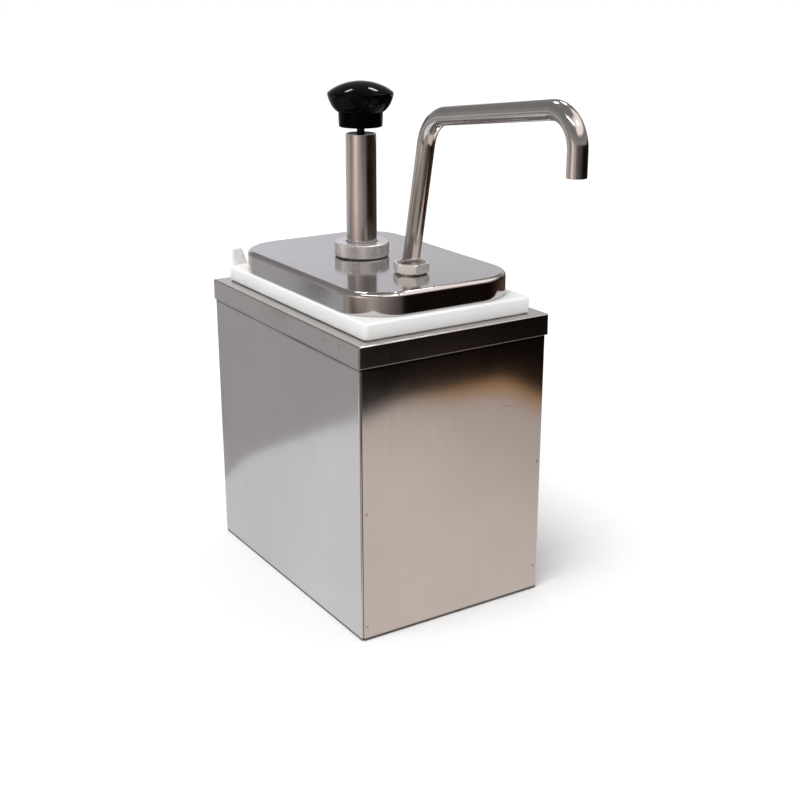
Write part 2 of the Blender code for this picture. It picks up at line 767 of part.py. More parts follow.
def knob_profile():
    """Down the outer side: shallow dome, rim, a flare between a cone and a bowl, ledge and neck."""
    dome = []
    for i in range(8):
        angle = math.radians(90 - 80 * i / 7)
        across = KNOB_RIM_RADIUS * math.cos(angle)
        dome.append((across, KNOB_RIM_Z + (KNOB_TOP_Z - KNOB_RIM_Z) * math.sin(angle)))
    dome[0] = (0, KNOB_TOP_Z)
    ledge = KNOB_NECK_RADIUS + 0.0014
    flare = []
    for i in range(7):
        share = i / 6
        angle = math.radians(90 * share)
        inward = (share + 1 - math.cos(angle)) / 2
        down = (share + math.sin(angle)) / 2
        across = KNOB_RIM_RADIUS - (KNOB_RIM_RADIUS - ledge) * inward
        flare.append((across, KNOB_RIM_Z - 0.0012 - (KNOB_RIM_Z - 0.0012 - KNOB_NECK_TOP_Z) * down))
    bore = 0.0062
    neck = [
        (KNOB_NECK_RADIUS + 0.0004, KNOB_NECK_TOP_Z),
        (KNOB_NECK_RADIUS, KNOB_BOTTOM_Z + 0.0006),
        (KNOB_NECK_RADIUS - 0.0006, KNOB_BOTTOM_Z),
        (bore, KNOB_BOTTOM_Z),
        (bore, 0.3965),
        (0, 0.3965),
    ]
    return dome + flare + neck


def make_knob():
    turned("knob", knob_profile(), "black_plastic", PUMP_AXIS, FINE_STEPS)
    insert = ring_profile(0.0059, ROD_RADIUS + 0.0003, KNOB_BOTTOM_Z + 0.0004, 0.396)
    turned("knob_insert", insert, "brass", PUMP_AXIS)


def make_plunger():
    turned("plunger_rod", rod_profile(ROD_RADIUS, 0.176, 0.3955), "black_steel", PUMP_AXIS, 20)
    inner = SLEEVE_RADIUS - SLEEVE_WALL
    hole = ROD_RADIUS + 0.0003
    sleeve = ring_profile(SLEEVE_RADIUS, inner, PISTON_Z + 0.0123, SLEEVE_TOP_Z)
    turned("plunger_sleeve", sleeve, "brushed_steel", PUMP_AXIS)
    cap = ring_profile(inner - 0.0002, hole, SLEEVE_TOP_Z - 0.006, SLEEVE_TOP_Z - 0.0002)
    turned("sleeve_cap", cap, "black_plastic", PUMP_AXIS)
    groove_z = PISTON_Z + 0.006
    piston = [
        (inner - 0.0002, PISTON_Z + 0.018),
        (inner - 0.0002, PISTON_Z + 0.012),
        (PISTON_RADIUS, PISTON_Z + 0.012),
        (PISTON_RADIUS, groove_z + 0.0016),
        (0.0124, groove_z + 0.0016),
        (0.0124, groove_z - 0.0016),
        (PISTON_RADIUS, groove_z - 0.0016),
        (PISTON_RADIUS, PISTON_Z),
        (hole, PISTON_Z),
        (hole, PISTON_Z + 0.018),
    ]
    turned("piston", piston, "natural_plastic", PUMP_AXIS)
    seal = ring_section(0.01395, 0.0013, groove_z)
    turned("piston_oring", seal, "black_rubber", PUMP_AXIS)
    cup = [
        (PISTON_RADIUS, PISTON_Z - 0.0003),
        (PISTON_RADIUS, PISTON_Z - 0.0042),
        (PISTON_RADIUS - 0.0010, PISTON_Z - 0.0042),
        (PISTON_RADIUS - 0.0016, PISTON_Z - 0.0022),
        (hole, PISTON_Z - 0.0022),
        (hole, PISTON_Z - 0.0003),
    ]
    turned("cup_seal", cup, "black_rubber", PUMP_AXIS)
    washer = ring_profile(0.0130, hole, PISTON_Z - 0.0037, PISTON_Z - 0.0025)
    turned("seal_washer", washer, "polished_steel", PUMP_AXIS)


def make_piston_nut():
    top = PISTON_Z - 0.0040
    height = 0.005
    bm = bmesh.new()
    bmesh.ops.create_cone(
        bm,
        cap_ends=True,
        segments=6,
        radius1=0.0058,
        radius2=0.0058,
        depth=height,
        matrix=Matrix.Translation((0, 0, top - height / 2)),
    )
    nut = add_object("piston_nut", mesh_from(bm, "piston_nut"), "polished_steel", PUMP_AXIS)
    bore = rod_profile(ROD_RADIUS + 0.0003, top - height - 0.002, top + 0.002)
    boolean(nut, turned_helper("piston_nut_bore", bore, PUMP_AXIS, 20), "DIFFERENCE")


def make_spring(seat_top):
    """A compression spring with a closed turn at each end."""
    low = seat_top + FIT_GAP + SPRING_WIRE
    high = PISTON_Z - 0.0040 - SPRING_WIRE
    closed_pitch = 2 * SPRING_WIRE + 0.0001
    count = SPRING_TURNS * SPRING_POINTS_PER_TURN
    open_turns = SPRING_TURNS - 2
    open_pitch = (high - low - 2 * closed_pitch) / open_turns
    path = []
    for i in range(count + 1):
        turns = i / SPRING_POINTS_PER_TURN
        first = min(turns, 1)
        middle = min(max(turns - 1, 0), open_turns)
        last = max(turns - 1 - open_turns, 0)
        height = low + (first + last) * closed_pitch + middle * open_pitch
        angle = math.tau * turns
        path.append((SPRING_RADIUS * math.cos(angle), SPRING_RADIUS * math.sin(angle), height))
    curve = tube_curve("return_spring", path, SPRING_WIRE, sides=2)
    add_object("return_spring", curve, "polished_steel", PUMP_AXIS)


make_stand_wrap()
make_front_panel()
make_top_frame()
make_base_plate()
make_jar()
make_lid()
make_gaskets()
make_pump_head()
make_cylinder()
make_valve_body()
make_passage_plug()
make_valves()
make_riser()
make_outlet_fitting()
make_collar()
make_spout_nut()
make_spout()
make_spout_ferrule()
make_knob()
make_plunger()
make_piston_nut()
make_spring(make_spring_seat())
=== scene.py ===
"""Looks of the condiment pump dispenser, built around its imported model.

Metres, +Z up. The origin is the centre of the stand's underside, and the spout points to -Y.
Each piece is made where its CAD node is: heights and widths come from the nodes' boxes.
"""

import math

import bmesh
import bpy
from mathutils import Matrix, Vector, noise


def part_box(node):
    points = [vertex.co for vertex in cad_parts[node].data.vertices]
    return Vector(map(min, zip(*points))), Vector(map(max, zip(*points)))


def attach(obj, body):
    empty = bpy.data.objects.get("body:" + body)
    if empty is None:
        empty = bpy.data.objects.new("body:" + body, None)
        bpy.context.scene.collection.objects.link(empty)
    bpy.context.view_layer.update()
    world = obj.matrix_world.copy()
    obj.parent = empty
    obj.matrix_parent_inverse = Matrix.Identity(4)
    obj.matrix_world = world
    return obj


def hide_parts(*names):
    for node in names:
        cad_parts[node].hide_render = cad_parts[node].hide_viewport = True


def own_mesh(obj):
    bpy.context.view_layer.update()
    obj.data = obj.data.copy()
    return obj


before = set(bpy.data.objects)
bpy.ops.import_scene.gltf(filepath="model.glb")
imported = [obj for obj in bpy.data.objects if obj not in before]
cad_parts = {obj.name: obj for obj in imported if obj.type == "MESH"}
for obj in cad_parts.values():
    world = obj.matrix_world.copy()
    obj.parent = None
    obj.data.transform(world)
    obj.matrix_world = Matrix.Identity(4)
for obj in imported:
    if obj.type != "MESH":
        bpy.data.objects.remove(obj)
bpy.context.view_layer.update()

# ---- sizes that the boxes don't give ----

# The clear way left between neighbouring pieces
GAP = 0.0003
SHEET = 0.0008
STAND_BEND = 0.0014
# A thin wall's hollows and bulges, and how far from its edges they reach their full depth
WAVE_DEPTH = 0.00025
WAVE_FADE = 0.03
RETURN_FLANGE = 0.014
CAP_BEND = 0.0012
CAP_OPENING = (0.150, 0.228, 0.022)
CORNER_SEAM = 0.00025

# Half widths of the jar's body under its flange, of its foot and of its raised rim
JAR_BODY_X = 0.072
JAR_FOOT_X = 0.0665
JAR_RIM_X = 0.0732
JAR_FLANGE_CORNER = 0.004
JAR_FLANGE_HEIGHT = 0.0132
JAR_RIM_HEIGHT = 0.006
JAR_BODY_CORNER = 0.020
JAR_RIM_CORNER = 0.038
JAR_RIM_WALL = 0.0042
JAR_WALL = 0.003
JAR_LONGER = 0.039
JAR_RIM_LONGER = 0.0358
LUG_HEIGHT = 0.0145
LUG_THICKNESS = 0.0038

LID_CORNER = 0.040
LID_EDGE = 0.0042
PUMP_HOLE = 0.0184
OUTLET_HOLE = 0.0104

KNURL_COUNT = 92
KNURL_DEPTH = 0.00035
COLLAR_THREAD = 0.0015
NUT_THREAD = 0.001
THREAD_DEPTH = 0.0006
NECK_FLANGE = 0.004
RISER_SOCKET = 0.0074
PASSAGE_RADIUS = 0.0035
PUMP_TUBE_WALL = 0.0015
NUT_TURN = math.radians(12)

SPOUT_CORNERS = ((-0.059, 0.283), (-0.0847, 0.4007), (-0.2567, 0.4226))
SPOUT_BENDS = (0.030, 0.024)
SPOUT_END_Z = 0.378
SPOUT_WALL = 0.001

SPRING_WIRE = 0.001
SPRING_TURNS = 9

KNOB_NECK_TOP = 0.3957
KNOB_RIM_Z = 0.4105
KNOB_NECK_RADIUS = 0.018

# Spot welds: (x, height) on the front panel, (y, height) on the cap's long skirts
PANEL_WELDS = ((-0.0829, 0.1091), (-0.0828, 0.0121), (0.0827, 0.022), (0.0829, 0.118))
SKIRT_WELDS = ((0.0305, 0.2378), (-0.0754, 0.238), (-0.0971, 0.2385))
# The brown tint round a weld: radii where it starts to fade and ends, strength at those
WELD_TINT = (0.0005, 0.0022, 0.28, 0)
# Faint scratches on the front panel: x, height, slope, half-length
PANEL_SCRATCHES = (
    (0.053, 0.1725, -0.12, 0.0075),
    (0.060, 0.1695, 0.3, 0.0035),
    (0.047, 0.1745, -0.5, 0.003),
)


def unit(value):
    return min(1, max(0, value))


# ---- shader nodes ----


class Shader:
    """One material, and short calls that add nodes to it. Its patterns are in the piece's own metres."""

    def __init__(self, name):
        self.material = bpy.data.materials.new(name)
        self.material.use_nodes = True
        self.nodes = self.material.node_tree.nodes
        self.links = self.material.node_tree.links
        self.surface = self.nodes["Principled BSDF"]
        self.place = self.nodes.new("ShaderNodeTexCoord").outputs["Object"]

    def put(self, target, value):
        if hasattr(value, "is_linked"):
            self.links.new(value, target)
        else:
            target.default_value = value

    def set(self, node, **inputs):
        for name, value in inputs.items():
            self.put(node.inputs[name.replace("_", " ")], value)
        return node

    def add(self, kind, **inputs):
        return self.set(self.nodes.new("ShaderNode" + kind), **inputs)

    def noise(self, scale, detail=2.0, stretch=(1, 1, 1), roughness=0.5):
        place = self.add("Mapping", Vector=self.place, Scale=stretch).outputs["Vector"]
        node = self.add("TexNoise", Vector=place, Scale=scale, Detail=detail, Roughness=roughness)
        return node.outputs["Fac"]

    def remap(self, value, low, high, new_low, new_high, smooth=False):
        node = self.add("MapRange", Value=value, From_Min=low, From_Max=high, To_Min=new_low, To_Max=new_high)
        node.interpolation_type = "SMOOTHSTEP" if smooth else "LINEAR"
        return node.outputs["Result"]

    def maths(self, operation, first, second=0.0, kind="Math"):
        node = self.add(kind)
        node.operation = operation
        self.put(node.inputs[0], first)
        self.put(node.inputs[1], second)
        return node.outputs["Vector" if operation == "SUBTRACT" else "Value"]

    def blend(self, share, first, second):
        node = self.nodes.new("ShaderNodeMix")
        node.data_type = "RGBA"
        self.put(node.inputs["Factor"], share)
        for socket, colour in ((node.inputs[6], first), (node.inputs[7], second)):
            self.put(socket, colour if hasattr(colour, "is_linked") else (*colour, 1))
        return node.outputs[2]

    def axis(self, letter):
        return self.add("SeparateXYZ", Vector=self.place).outputs[letter]

    def stroke(self, centre, along, length, width):
        """1 on a short straight scratch through centre, 0 away from it."""
        along = Vector(along).normalized()
        offset = self.maths("SUBTRACT", self.place, centre, "VectorMath")
        share = 1.0
        for way, reach in ((along, length), (along.cross(Vector((0, 1, 0))), width)):
            far = self.maths("ABSOLUTE", self.maths("DOT_PRODUCT", offset, way, "VectorMath"))
            share = self.maths("MULTIPLY", self.remap(far, reach * 0.4, reach, 1, 0, smooth=True), share)
        return share

    def bump(self, height, depth, strength, under=None):
        node = self.add("Bump", Height=height, Distance=depth, Strength=strength)
        if under:
            self.put(node.inputs["Normal"], under)
        return node.outputs["Normal"]

    def done(self, base, rub, smooth, rough, normal, **more):
        """The material. It is smooth where the pattern rub is low, and rough where it is high."""
        spread = self.remap(rub, 0.3, 0.7, smooth, rough)
        self.set(self.surface, Base_Color=base, Roughness=spread, Normal=normal, **more)
        return self.material


def steel_colour(shader, colour, depth=0.08):
    """Cloudy variation of a steel's colour, from faint handling marks and uneven polish."""
    cloud = shader.noise(16, 4, roughness=0.6)
    dull = tuple(c * (1 - depth) for c in colour)
    return shader.blend(shader.remap(cloud, 0.35, 0.68, 0, 1), colour, dull)


def sheet_steel(name, welds=(), scratches=(), gloss=0.14, skirt_shade_height=None, foot=False):
    """Brushed sheet: fine upright grain, soft clouds, brown heat tint round the spot welds.

    Painted shade darkens a narrow band just below the cap skirt's lower edge, when that height is given, and
    a painted contact shadow darkens the lower edge where foot is set.
    """
    colour = (0.60, 0.572, 0.552)
    shader = Shader(name)
    base = steel_colour(shader, colour, 0.05)
    grain = shader.noise(1, 3, stretch=(900, 900, 9))
    base = shader.blend(shader.remap(grain, 0.3, 0.7, 0, 0.10), base, (0.42, 0.40, 0.385))
    for point in welds:
        away = shader.maths("DISTANCE", shader.place, point, "VectorMath")
        tint = shader.remap(away, *WELD_TINT, smooth=True)
        base = shader.blend(tint, base, (0.34, 0.25, 0.17))
    for centre, along, length in scratches:
        mark = shader.maths("MULTIPLY", shader.stroke(centre, along, length, 0.0004), 0.4)
        base = shader.blend(mark, base, (0.24, 0.17, 0.11))
    height = shader.axis("Z")
    # Painted shade: a narrow dark band just below the cap skirt's lower edge, uneven along its length, stands
    # in for the skirt's shadow.
    if skirt_shade_height:
        near = shader.remap(height, skirt_shade_height - 0.0034, skirt_shade_height - 0.0016, 0, 0.9, smooth=True)
        patch = shader.remap(shader.noise(11, 1), 0.42, 0.6, 0.5, 1)
        base = shader.blend(shader.maths("MULTIPLY", near, patch), base, (0.07, 0.06, 0.05))
    # Painted contact shadow: the bottom 2 to 3 mm of the wall are darkened where it meets the floor.
    if foot:
        base = shader.blend(shader.remap(height, 0.0021, 0.0029, 0.9, 0), base, (0.05, 0.045, 0.04))
    smudge = shader.noise(14, 4, roughness=0.6)
    worn = shader.remap(smudge, 0.3, 0.72, gloss - 0.015, gloss + 0.015)
    roughness = shader.maths("ADD", worn, shader.remap(grain, 0.3, 0.7, -0.006, 0.006))
    wave = shader.bump(shader.noise(7, 1), 0.0004, 0.25)
    shader.set(shader.surface, Base_Color=base, Metallic=1.0, Roughness=roughness, Normal=wave)
    return shader.material


def pressed_steel(name):
    """Polished sheet drawn in a press: bright, with hair scratches and faint draw marks."""
    shader = Shader(name)
    base = steel_colour(shader, (0.62, 0.595, 0.585), 0.05)
    scratch = shader.noise(1, 2, stretch=(260, 2600, 260))
    scratch_two = shader.noise(1, 2, stretch=(2200, 180, 260))
    rub = shader.noise(30, 4, roughness=0.6)
    lines = shader.maths("MAXIMUM", scratch, scratch_two)
    worn = shader.remap(rub, 0.3, 0.7, 0.09, 0.13)
    roughness = shader.maths("ADD", worn, shader.remap(lines, 0.62, 0.78, 0, 0.04))
    wave = shader.bump(shader.noise(14, 1), 0.0005, 0.25)
    normal = shader.bump(lines, 0.000002, 0.4, wave)
    shader.set(shader.surface, Base_Color=base, Metallic=1.0, Roughness=roughness, Normal=normal)
    return shader.material


def worked_steel(name, colour, cloudy, skin, depth, strength, rub, smooth, rough, metallic=1.0):
    """Steel with a fine skin and an uneven polish. skin and rub are what Shader.noise takes."""
    shader = Shader(name)
    base = steel_colour(shader, colour, cloudy)
    normal = shader.bump(shader.noise(*skin), depth, strength)
    return shader.done(base, shader.noise(*rub), smooth, rough, normal, Metallic=metallic)


def turned_steel(name, roughness=0.16, colour=(0.66, 0.635, 0.62), metallic=1.0):
    """Steel from a lathe: hair-thin rings round the axis."""
    spread = (roughness * 0.8, roughness * 1.25, metallic)
    return worked_steel(name, colour, 0.06, (1, 2, (60, 60, 5200)), 0.000008, 0.6, (120, 3), *spread)


def tube_steel(name, roughness):
    """Drawn tube: faint lines along it and soft variation in its polish."""
    lines, rub = (1, 3, (1400, 1400, 30)), (70, 4, (1, 1, 1), 0.6)
    spread = (roughness * 0.8, roughness * 1.3)
    return worked_steel(name, (0.63, 0.60, 0.58), 0.10, lines, 0.000010, 0.6, rub, *spread)


def cast_steel(name):
    """Bead-blasted investment casting with a fine pebbled skin."""
    return worked_steel(name, (0.52, 0.505, 0.49), 0.15, (900, 3), 0.00006, 0.5, (90, 4), 0.36, 0.48)


def white_plastic(name):
    """Milk-white moulded polyethylene: light sinks into it, and its skin is faintly pebbled."""
    shader = Shader(name)
    cloud = shader.noise(20, 3)
    base = shader.blend(shader.remap(cloud, 0.35, 0.65, 0, 1), (0.91, 0.91, 0.905), (0.89, 0.89, 0.88))
    scuff = shader.noise(60, 5, roughness=0.7)
    skin = shader.bump(shader.noise(700, 2), 0.00004, 0.35)
    soft = shader.bump(shader.noise(35, 2), 0.0004, 0.2, skin)
    depth = {"Subsurface_Weight": 0.35, "Subsurface_Radius": (0.006, 0.006, 0.005), "Subsurface_Scale": 1.0}
    return shader.done(base, scuff, 0.36, 0.5, soft, **depth)


def mottled(name, cloud, first, second, smooth, rough, skin, depth, strength, **more):
    """A finish whose colour and roughness follow one noise, under a fine skin of another noise."""
    shader = Shader(name)
    pattern = shader.noise(*cloud)
    normal = shader.bump(shader.noise(*skin), depth, strength)
    return shader.done(shader.blend(pattern, first, second), pattern, smooth, rough, normal, **more)


def natural_plastic(name):
    """Machined acetal: off-white, with faint tool rings."""
    colours = (0.82, 0.81, 0.76), (0.74, 0.72, 0.66)
    depth = {"Subsurface_Weight": 0.2, "Subsurface_Radius": (0.004, 0.004, 0.003), "Subsurface_Scale": 1.0}
    return mottled(name, (60, 3), *colours, 0.34, 0.46, (1, 2, (80, 80, 3000)), 0.00002, 0.5, **depth)


def gloss_black(name):
    """Moulded phenolic, polished, with fine dust marks and a soft orange-peel in its gloss."""
    shader = Shader(name)
    cells = shader.add("TexVoronoi", Vector=shader.place, Scale=900).outputs["Distance"]
    dust = shader.remap(cells, 0.0, 0.09, 1, 0)
    base = shader.blend(shader.maths("MULTIPLY", dust, 0.05), (0.0012, 0.0012, 0.0014), (0.06, 0.06, 0.06))
    rub = shader.noise(90, 4)
    normal = shader.bump(shader.noise(180, 2), 0.00005, 0.25)
    shine = shader.remap(shader.axis("Z"), KNOB_NECK_TOP, KNOB_RIM_Z, 0.02, 0.09)
    return shader.done(base, rub, 0.06, 0.12, normal, Specular_IOR_Level=shine)


def matt_black(name):
    """Moulded black plastic with a fine satin skin."""
    colours = (0.012, 0.012, 0.013), (0.020, 0.020, 0.021)
    return mottled(name, (800, 2), *colours, 0.36, 0.5, (800, 2), 0.00004, 0.4, Specular_IOR_Level=0.12)


def rubber(name, dark=(0.016, 0.016, 0.017), pale=(0.045, 0.044, 0.043)):
    """Nitrile with a dull bloom."""
    return mottled(name, (300, 4), dark, pale, 0.5, 0.7, (1500, 2), 0.00003, 0.4)


def black_oxide(name):
    """Blackened steel rod with drawn lines and a few rubbed places."""
    shader = Shader(name)
    rub = shader.noise(140, 4, roughness=0.6)
    base = shader.blend(shader.remap(rub, 0.5, 0.8, 0, 1), (0.018, 0.017, 0.016), (0.09, 0.08, 0.075))
    drawn = shader.noise(1, 2, stretch=(2400, 2400, 60))
    normal = shader.bump(drawn, 0.00001, 0.5)
    return shader.done(base, rub, 0.3, 0.42, normal, Metallic=0.9)


def brass(name):
    colours = (0.78, 0.58, 0.27), (0.60, 0.42, 0.19)
    return mottled(name, (160, 4), *colours, 0.22, 0.34, (1, 2, (80, 80, 4200)), 0.00001, 0.5, Metallic=1.0)


def weld_metal(name):
    """Straw and brown heat colours on a small weld."""
    colours = (0.36, 0.27, 0.19), (0.52, 0.45, 0.38)
    return mottled(name, (900, 3), *colours, 0.3, 0.5, (2500, 2), 0.00003, 0.5, Metallic=1.0)


# ---- outlines ----


def arc_points(before, corner, after, radius, steps):
    """Points in space along an arc of that radius that rounds the corner."""
    back = (before - corner).normalized()
    ahead = (after - corner).normalized()
    half = back.angle(ahead) / 2
    centre = corner + (back + ahead).normalized() * radius / math.sin(half)
    start = corner + back * radius / math.tan(half) - centre
    axis = start.cross(corner - centre).normalized()
    swing = math.pi - 2 * half
    return [centre + Matrix.Rotation(swing * k / steps, 3, axis) @ start for k in range(steps + 1)]


def filleted(points, closed, steps=6):
    """The outline with an arc at each corner. A point is (across, up, fillet radius, anything more)."""
    outline = []
    for i, (across, up, radius, *more) in enumerate(points):
        if radius == 0 or not closed and i in (0, len(points) - 1):
            outline.append((across, up, *more))
            continue
        corners = [Vector((*points[k % len(points)][:2], 0)) for k in (i - 1, i, i + 1)]
        outline += [(place.x, place.y, *more) for place in arc_points(*corners, radius, steps)]
    return outline


def filleted_path(corners, radii, steps):
    """Points along straight runs in space, with an arc of the given radius at each inner corner."""
    corners = [Vector(c) for c in corners]
    path = [corners[0]]
    for *near, radius in zip(corners, corners[1:], corners[2:], radii):
        path += arc_points(*near, radius, steps)
    return path + [corners[-1]]


def divided(path, longest):
    """The path with points added so that no run is longer than that."""
    points = [path[0]]
    for start, end in zip(path, path[1:]):
        count = max(1, math.ceil((end - start).length / longest))
        points += [start.lerp(end, k / count) for k in range(1, count + 1)]
    return points


def rectangle_loop(half_x, half_y, corner, z, corner_steps=12, side_steps=1):
    """A level loop round a rectangle with round corners."""
    arcs = []
    for i, (side_x, side_y) in enumerate(((1, 1), (-1, 1), (-1, -1), (1, -1))):
        centre = Vector((side_x * (half_x - corner), side_y * (half_y - corner), z))
        angles = [math.pi / 2 * (i + k / corner_steps) for k in range(corner_steps + 1)]
        arcs.append([centre + Vector((corner * math.cos(a), corner * math.sin(a), 0)) for a in angles])
    loop = []
    for arc, after in zip(arcs, arcs[1:] + arcs[:1]):
        loop += arc
        loop += [arc[-1].lerp(after[0], k / side_steps) for k in range(1, side_steps)]
    return loop


# ---- meshes ----


def bridge(bm, first, second):
    """Faces between two rings of points. A ring of one point is a tip."""
    count = max(len(first), len(second))
    for k in range(count):
        following = (k + 1) % count
        corners = [first[k % len(first)], first[following % len(first)]]
        corners += [second[following % len(second)], second[k % len(second)]]
        corners = list(dict.fromkeys(corners))
        if len(corners) > 2:
            bm.faces.new(corners)


def loft(loops, closed):
    """A closed solid through loops that have equal counts of points. closed joins the last to the first."""
    bm = bmesh.new()
    rings = [[bm.verts.new(p) for p in loop] for loop in loops]
    for first, second in zip(rings, rings[1:]):
        bridge(bm, first, second)
    if closed:
        bridge(bm, rings[-1], rings[0])
    else:
        bm.faces.new(list(reversed(rings[0])))
        bm.faces.new(rings[-1])
    bmesh.ops.recalc_face_normals(bm, faces=bm.faces)
    return bm


def turned_solid(profile, y, steps=96, shape=None):
    """A solid of revolution about the upright line at y. shape may change each point's radius."""
    bm = bmesh.new()
    rings = []
    for radius, z in profile:
        if radius < 1e-7:
            rings.append([bm.verts.new((0, y, z))])
            continue
        ring = []
        for k in range(steps):
            angle = math.tau * k / steps
            reach = shape(radius, z, angle) if shape else radius
            ring.append(bm.verts.new((reach * math.cos(angle), y + reach * math.sin(angle), z)))
        rings.append(ring)
    for first, second in zip(rings, rings[1:]):
        bridge(bm, first, second)
    if profile[0][0] > 1e-7:
        bridge(bm, rings[-1], rings[0])
    bmesh.ops.recalc_face_normals(bm, faces=bm.faces)
    return bm


def ahead_at(path, i):
    return (path[min(i + 1, len(path) - 1)] - path[max(i - 1, 0)]).normalized()


def frames_along(path):
    """A (point, side, up) set at each point of the path, turning no more than the path does."""
    frames = []
    side = ahead_at(path, 0).orthogonal().normalized()
    for i, point in enumerate(path):
        ahead = ahead_at(path, i)
        side = (side - ahead * side.dot(ahead)).normalized()
        frames.append((point, side, ahead.cross(side)))
    return frames


def ring_at(frame_set, radius, sides):
    point, side, up = frame_set
    angles = [math.tau * k / sides for k in range(sides)]
    return [point + side * radius * math.cos(a) + up * radius * math.sin(a) for a in angles]


def rod_solid(radius, top, bottom, y, sides):
    return turned_solid([(0, top), (radius, top), (radius, bottom), (0, bottom)], y, sides)


def box_solid(low, high, bevel=0.0):
    low = Vector(low)
    high = Vector(high)
    bm = bmesh.new()
    scale = Matrix.Diagonal((*(high - low), 1))
    bmesh.ops.create_cube(bm, size=1, matrix=Matrix.Translation((low + high) / 2) @ scale)
    if bevel:
        bmesh.ops.bevel(bm, geom=bm.edges[:], offset=bevel, segments=3, profile=0.5, affect="EDGES")
    return bm


def shade(mesh, sharp):
    mesh.shade_smooth()
    mesh.set_sharp_from_angle(angle=math.radians(sharp))


def link_new(name, data):
    thing = bpy.data.objects.new(name, data)
    bpy.context.scene.collection.objects.link(thing)
    return thing


def add_object(name, bm, sharp=32):
    mesh = bpy.data.meshes.new(name)
    bm.to_mesh(mesh)
    bm.free()
    shade(mesh, sharp)
    return link_new(name, mesh)


def turned_object(name, corners, y, sides, closed=True, arc=3, shape=None, sharp=32):
    """An object turned about the upright line at y. A corner is (radius, height, fillet)."""
    return add_object(name, turned_solid(filleted(corners, closed, arc), y, sides, shape), sharp)


def freeze(thing, sharp=32):
    """Applies the object's modifiers to its mesh."""
    bpy.context.view_layer.update()
    graph = bpy.context.evaluated_depsgraph_get()
    mesh = bpy.data.meshes.new_from_object(thing.evaluated_get(graph))
    thing.modifiers.clear()
    thing.data = mesh
    shade(mesh, sharp)


def combine(thing, tools, operation="DIFFERENCE", sharp=32):
    """Cuts the object by the tools, or joins them to it, and removes the tools."""
    for bm in tools:
        tool = add_object("tool", bm)
        modifier = thing.modifiers.new("cut", "BOOLEAN")
        modifier.object = tool
        modifier.operation = operation
        modifier.solver = "EXACT"
        freeze(thing, sharp)
        bpy.data.objects.remove(tool)


def even_shading(thing):
    thing.modifiers.new("even shading", "WEIGHTED_NORMAL").keep_sharp = True


def finish_piece(thing, body, slot, material, *nodes):
    """Gives the object its material, normals and body, and hides the nodes it stands for. slot is not used.
    """
    thing.data.materials.clear()
    thing.data.materials.append(material)
    even_shading(thing)
    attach(thing, body)
    if nodes:
        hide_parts(*nodes)
    return thing


def middle_y(node):
    low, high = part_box(node)
    return (low.y + high.y) / 2


PUMP_Y = middle_y("cylinder")
SPOUT_Y = middle_y("riser_tube")


def round_box(node):
    """The lowest and highest z of an upright round node, and its radius."""
    low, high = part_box(node)
    return low.z, high.z, (high.x - low.x) / 2


# ---- stand ----


def wall_solid(path, low, high, is_waved):
    """A sheet that stands on edge along the path, with its outer side on the path's right.

    It has the slight hollows and bulges of a thin wall. They fade out at its edges.
    """
    count = math.ceil((high - low) / 0.012)
    heights = [low + 0.0001, low + 0.0006]
    heights += [low + (high - low) * k / count for k in range(1, count)]
    heights += [high - 0.0006, high - 0.0001]
    loops = []
    for i, place in enumerate(path):
        ahead = ahead_at(path, i)
        normal = Vector((ahead.y, -ahead.x, 0))
        column = []
        for z in heights:
            fade = min(1, (z - low) / WAVE_FADE, (high - z) / WAVE_FADE) * is_waved(place)
            point = Vector((place.x, place.y, z))
            column.append(point + normal * (noise.noise(point * 11) * WAVE_DEPTH * fade))
        foot, head = (Vector((place.x, place.y, z)) - normal * SHEET / 2 for z in (low, high))
        loops.append([foot] + column + [head] + [p - normal * SHEET for p in reversed(column)])
    return loft(loops, closed=False)


def stand_wrap():
    low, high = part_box("stand_wrap")
    corners = [(high.x - RETURN_FLANGE, low.y, 0), (high.x, low.y, 0), (high.x, high.y, 0)]
    corners += [(low.x, high.y, 0), (low.x, low.y, 0), (low.x + RETURN_FLANGE, low.y, 0)]
    path = divided(filleted_path(corners, [STAND_BEND] * 4, 7), 0.012)

    def is_waved(place):
        from_side = min(place.x - low.x, high.x - place.x)
        from_end = min(place.y - low.y, high.y - place.y)
        return min(1, max(from_side, from_end) / WAVE_FADE)

    wrap = add_object("stand_wall", wall_solid(path, low.z, high.z, is_waved), sharp=50)
    # Its colour carries painted shade under the cap's skirt and a painted contact shadow along its foot.
    material = sheet_steel("wall_steel", skirt_shade_height=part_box("top_frame")[0].z, foot=True)
    finish_piece(wrap, "stand", "brushed_steel", material, "stand_wrap")


def front_panel():
    low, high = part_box("front_panel")
    path = divided([Vector((high.x, low.y, 0)), Vector((low.x, low.y, 0))], 0.010)[::-1]

    def is_waved(place):
        return min(1, (place.x - low.x) / WAVE_FADE, (high.x - place.x) / WAVE_FADE)

    panel = add_object("front_wall", wall_solid(path, low.z, high.z, is_waved), sharp=50)
    welds = [(x, low.y, z) for x, z in PANEL_WELDS]
    marks = [((x, low.y, z), (1, 0, slope), length) for x, z, slope, length in PANEL_SCRATCHES]
    # Its colour carries painted shade under the cap's skirt and a painted contact shadow along its foot.
    material = sheet_steel("panel_steel", welds, marks, 0.105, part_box("top_frame")[0].z, foot=True)
    finish_piece(panel, "stand", "brushed_steel", material, "front_panel")


def skirt_spring(point, low, high):
    """The long skirts stand off a little along two stretches, most at their lower edge."""
    if abs(point.x) < high.x - 0.002:
        return point
    share = (high.z - point.z) / (high.z - low.z)
    stretch = max(0, math.sin((point.y / 0.075 + 0.35) * math.pi)) ** 2
    return point + Vector((math.copysign(0.00035 * share * stretch, point.x), 0, 0))


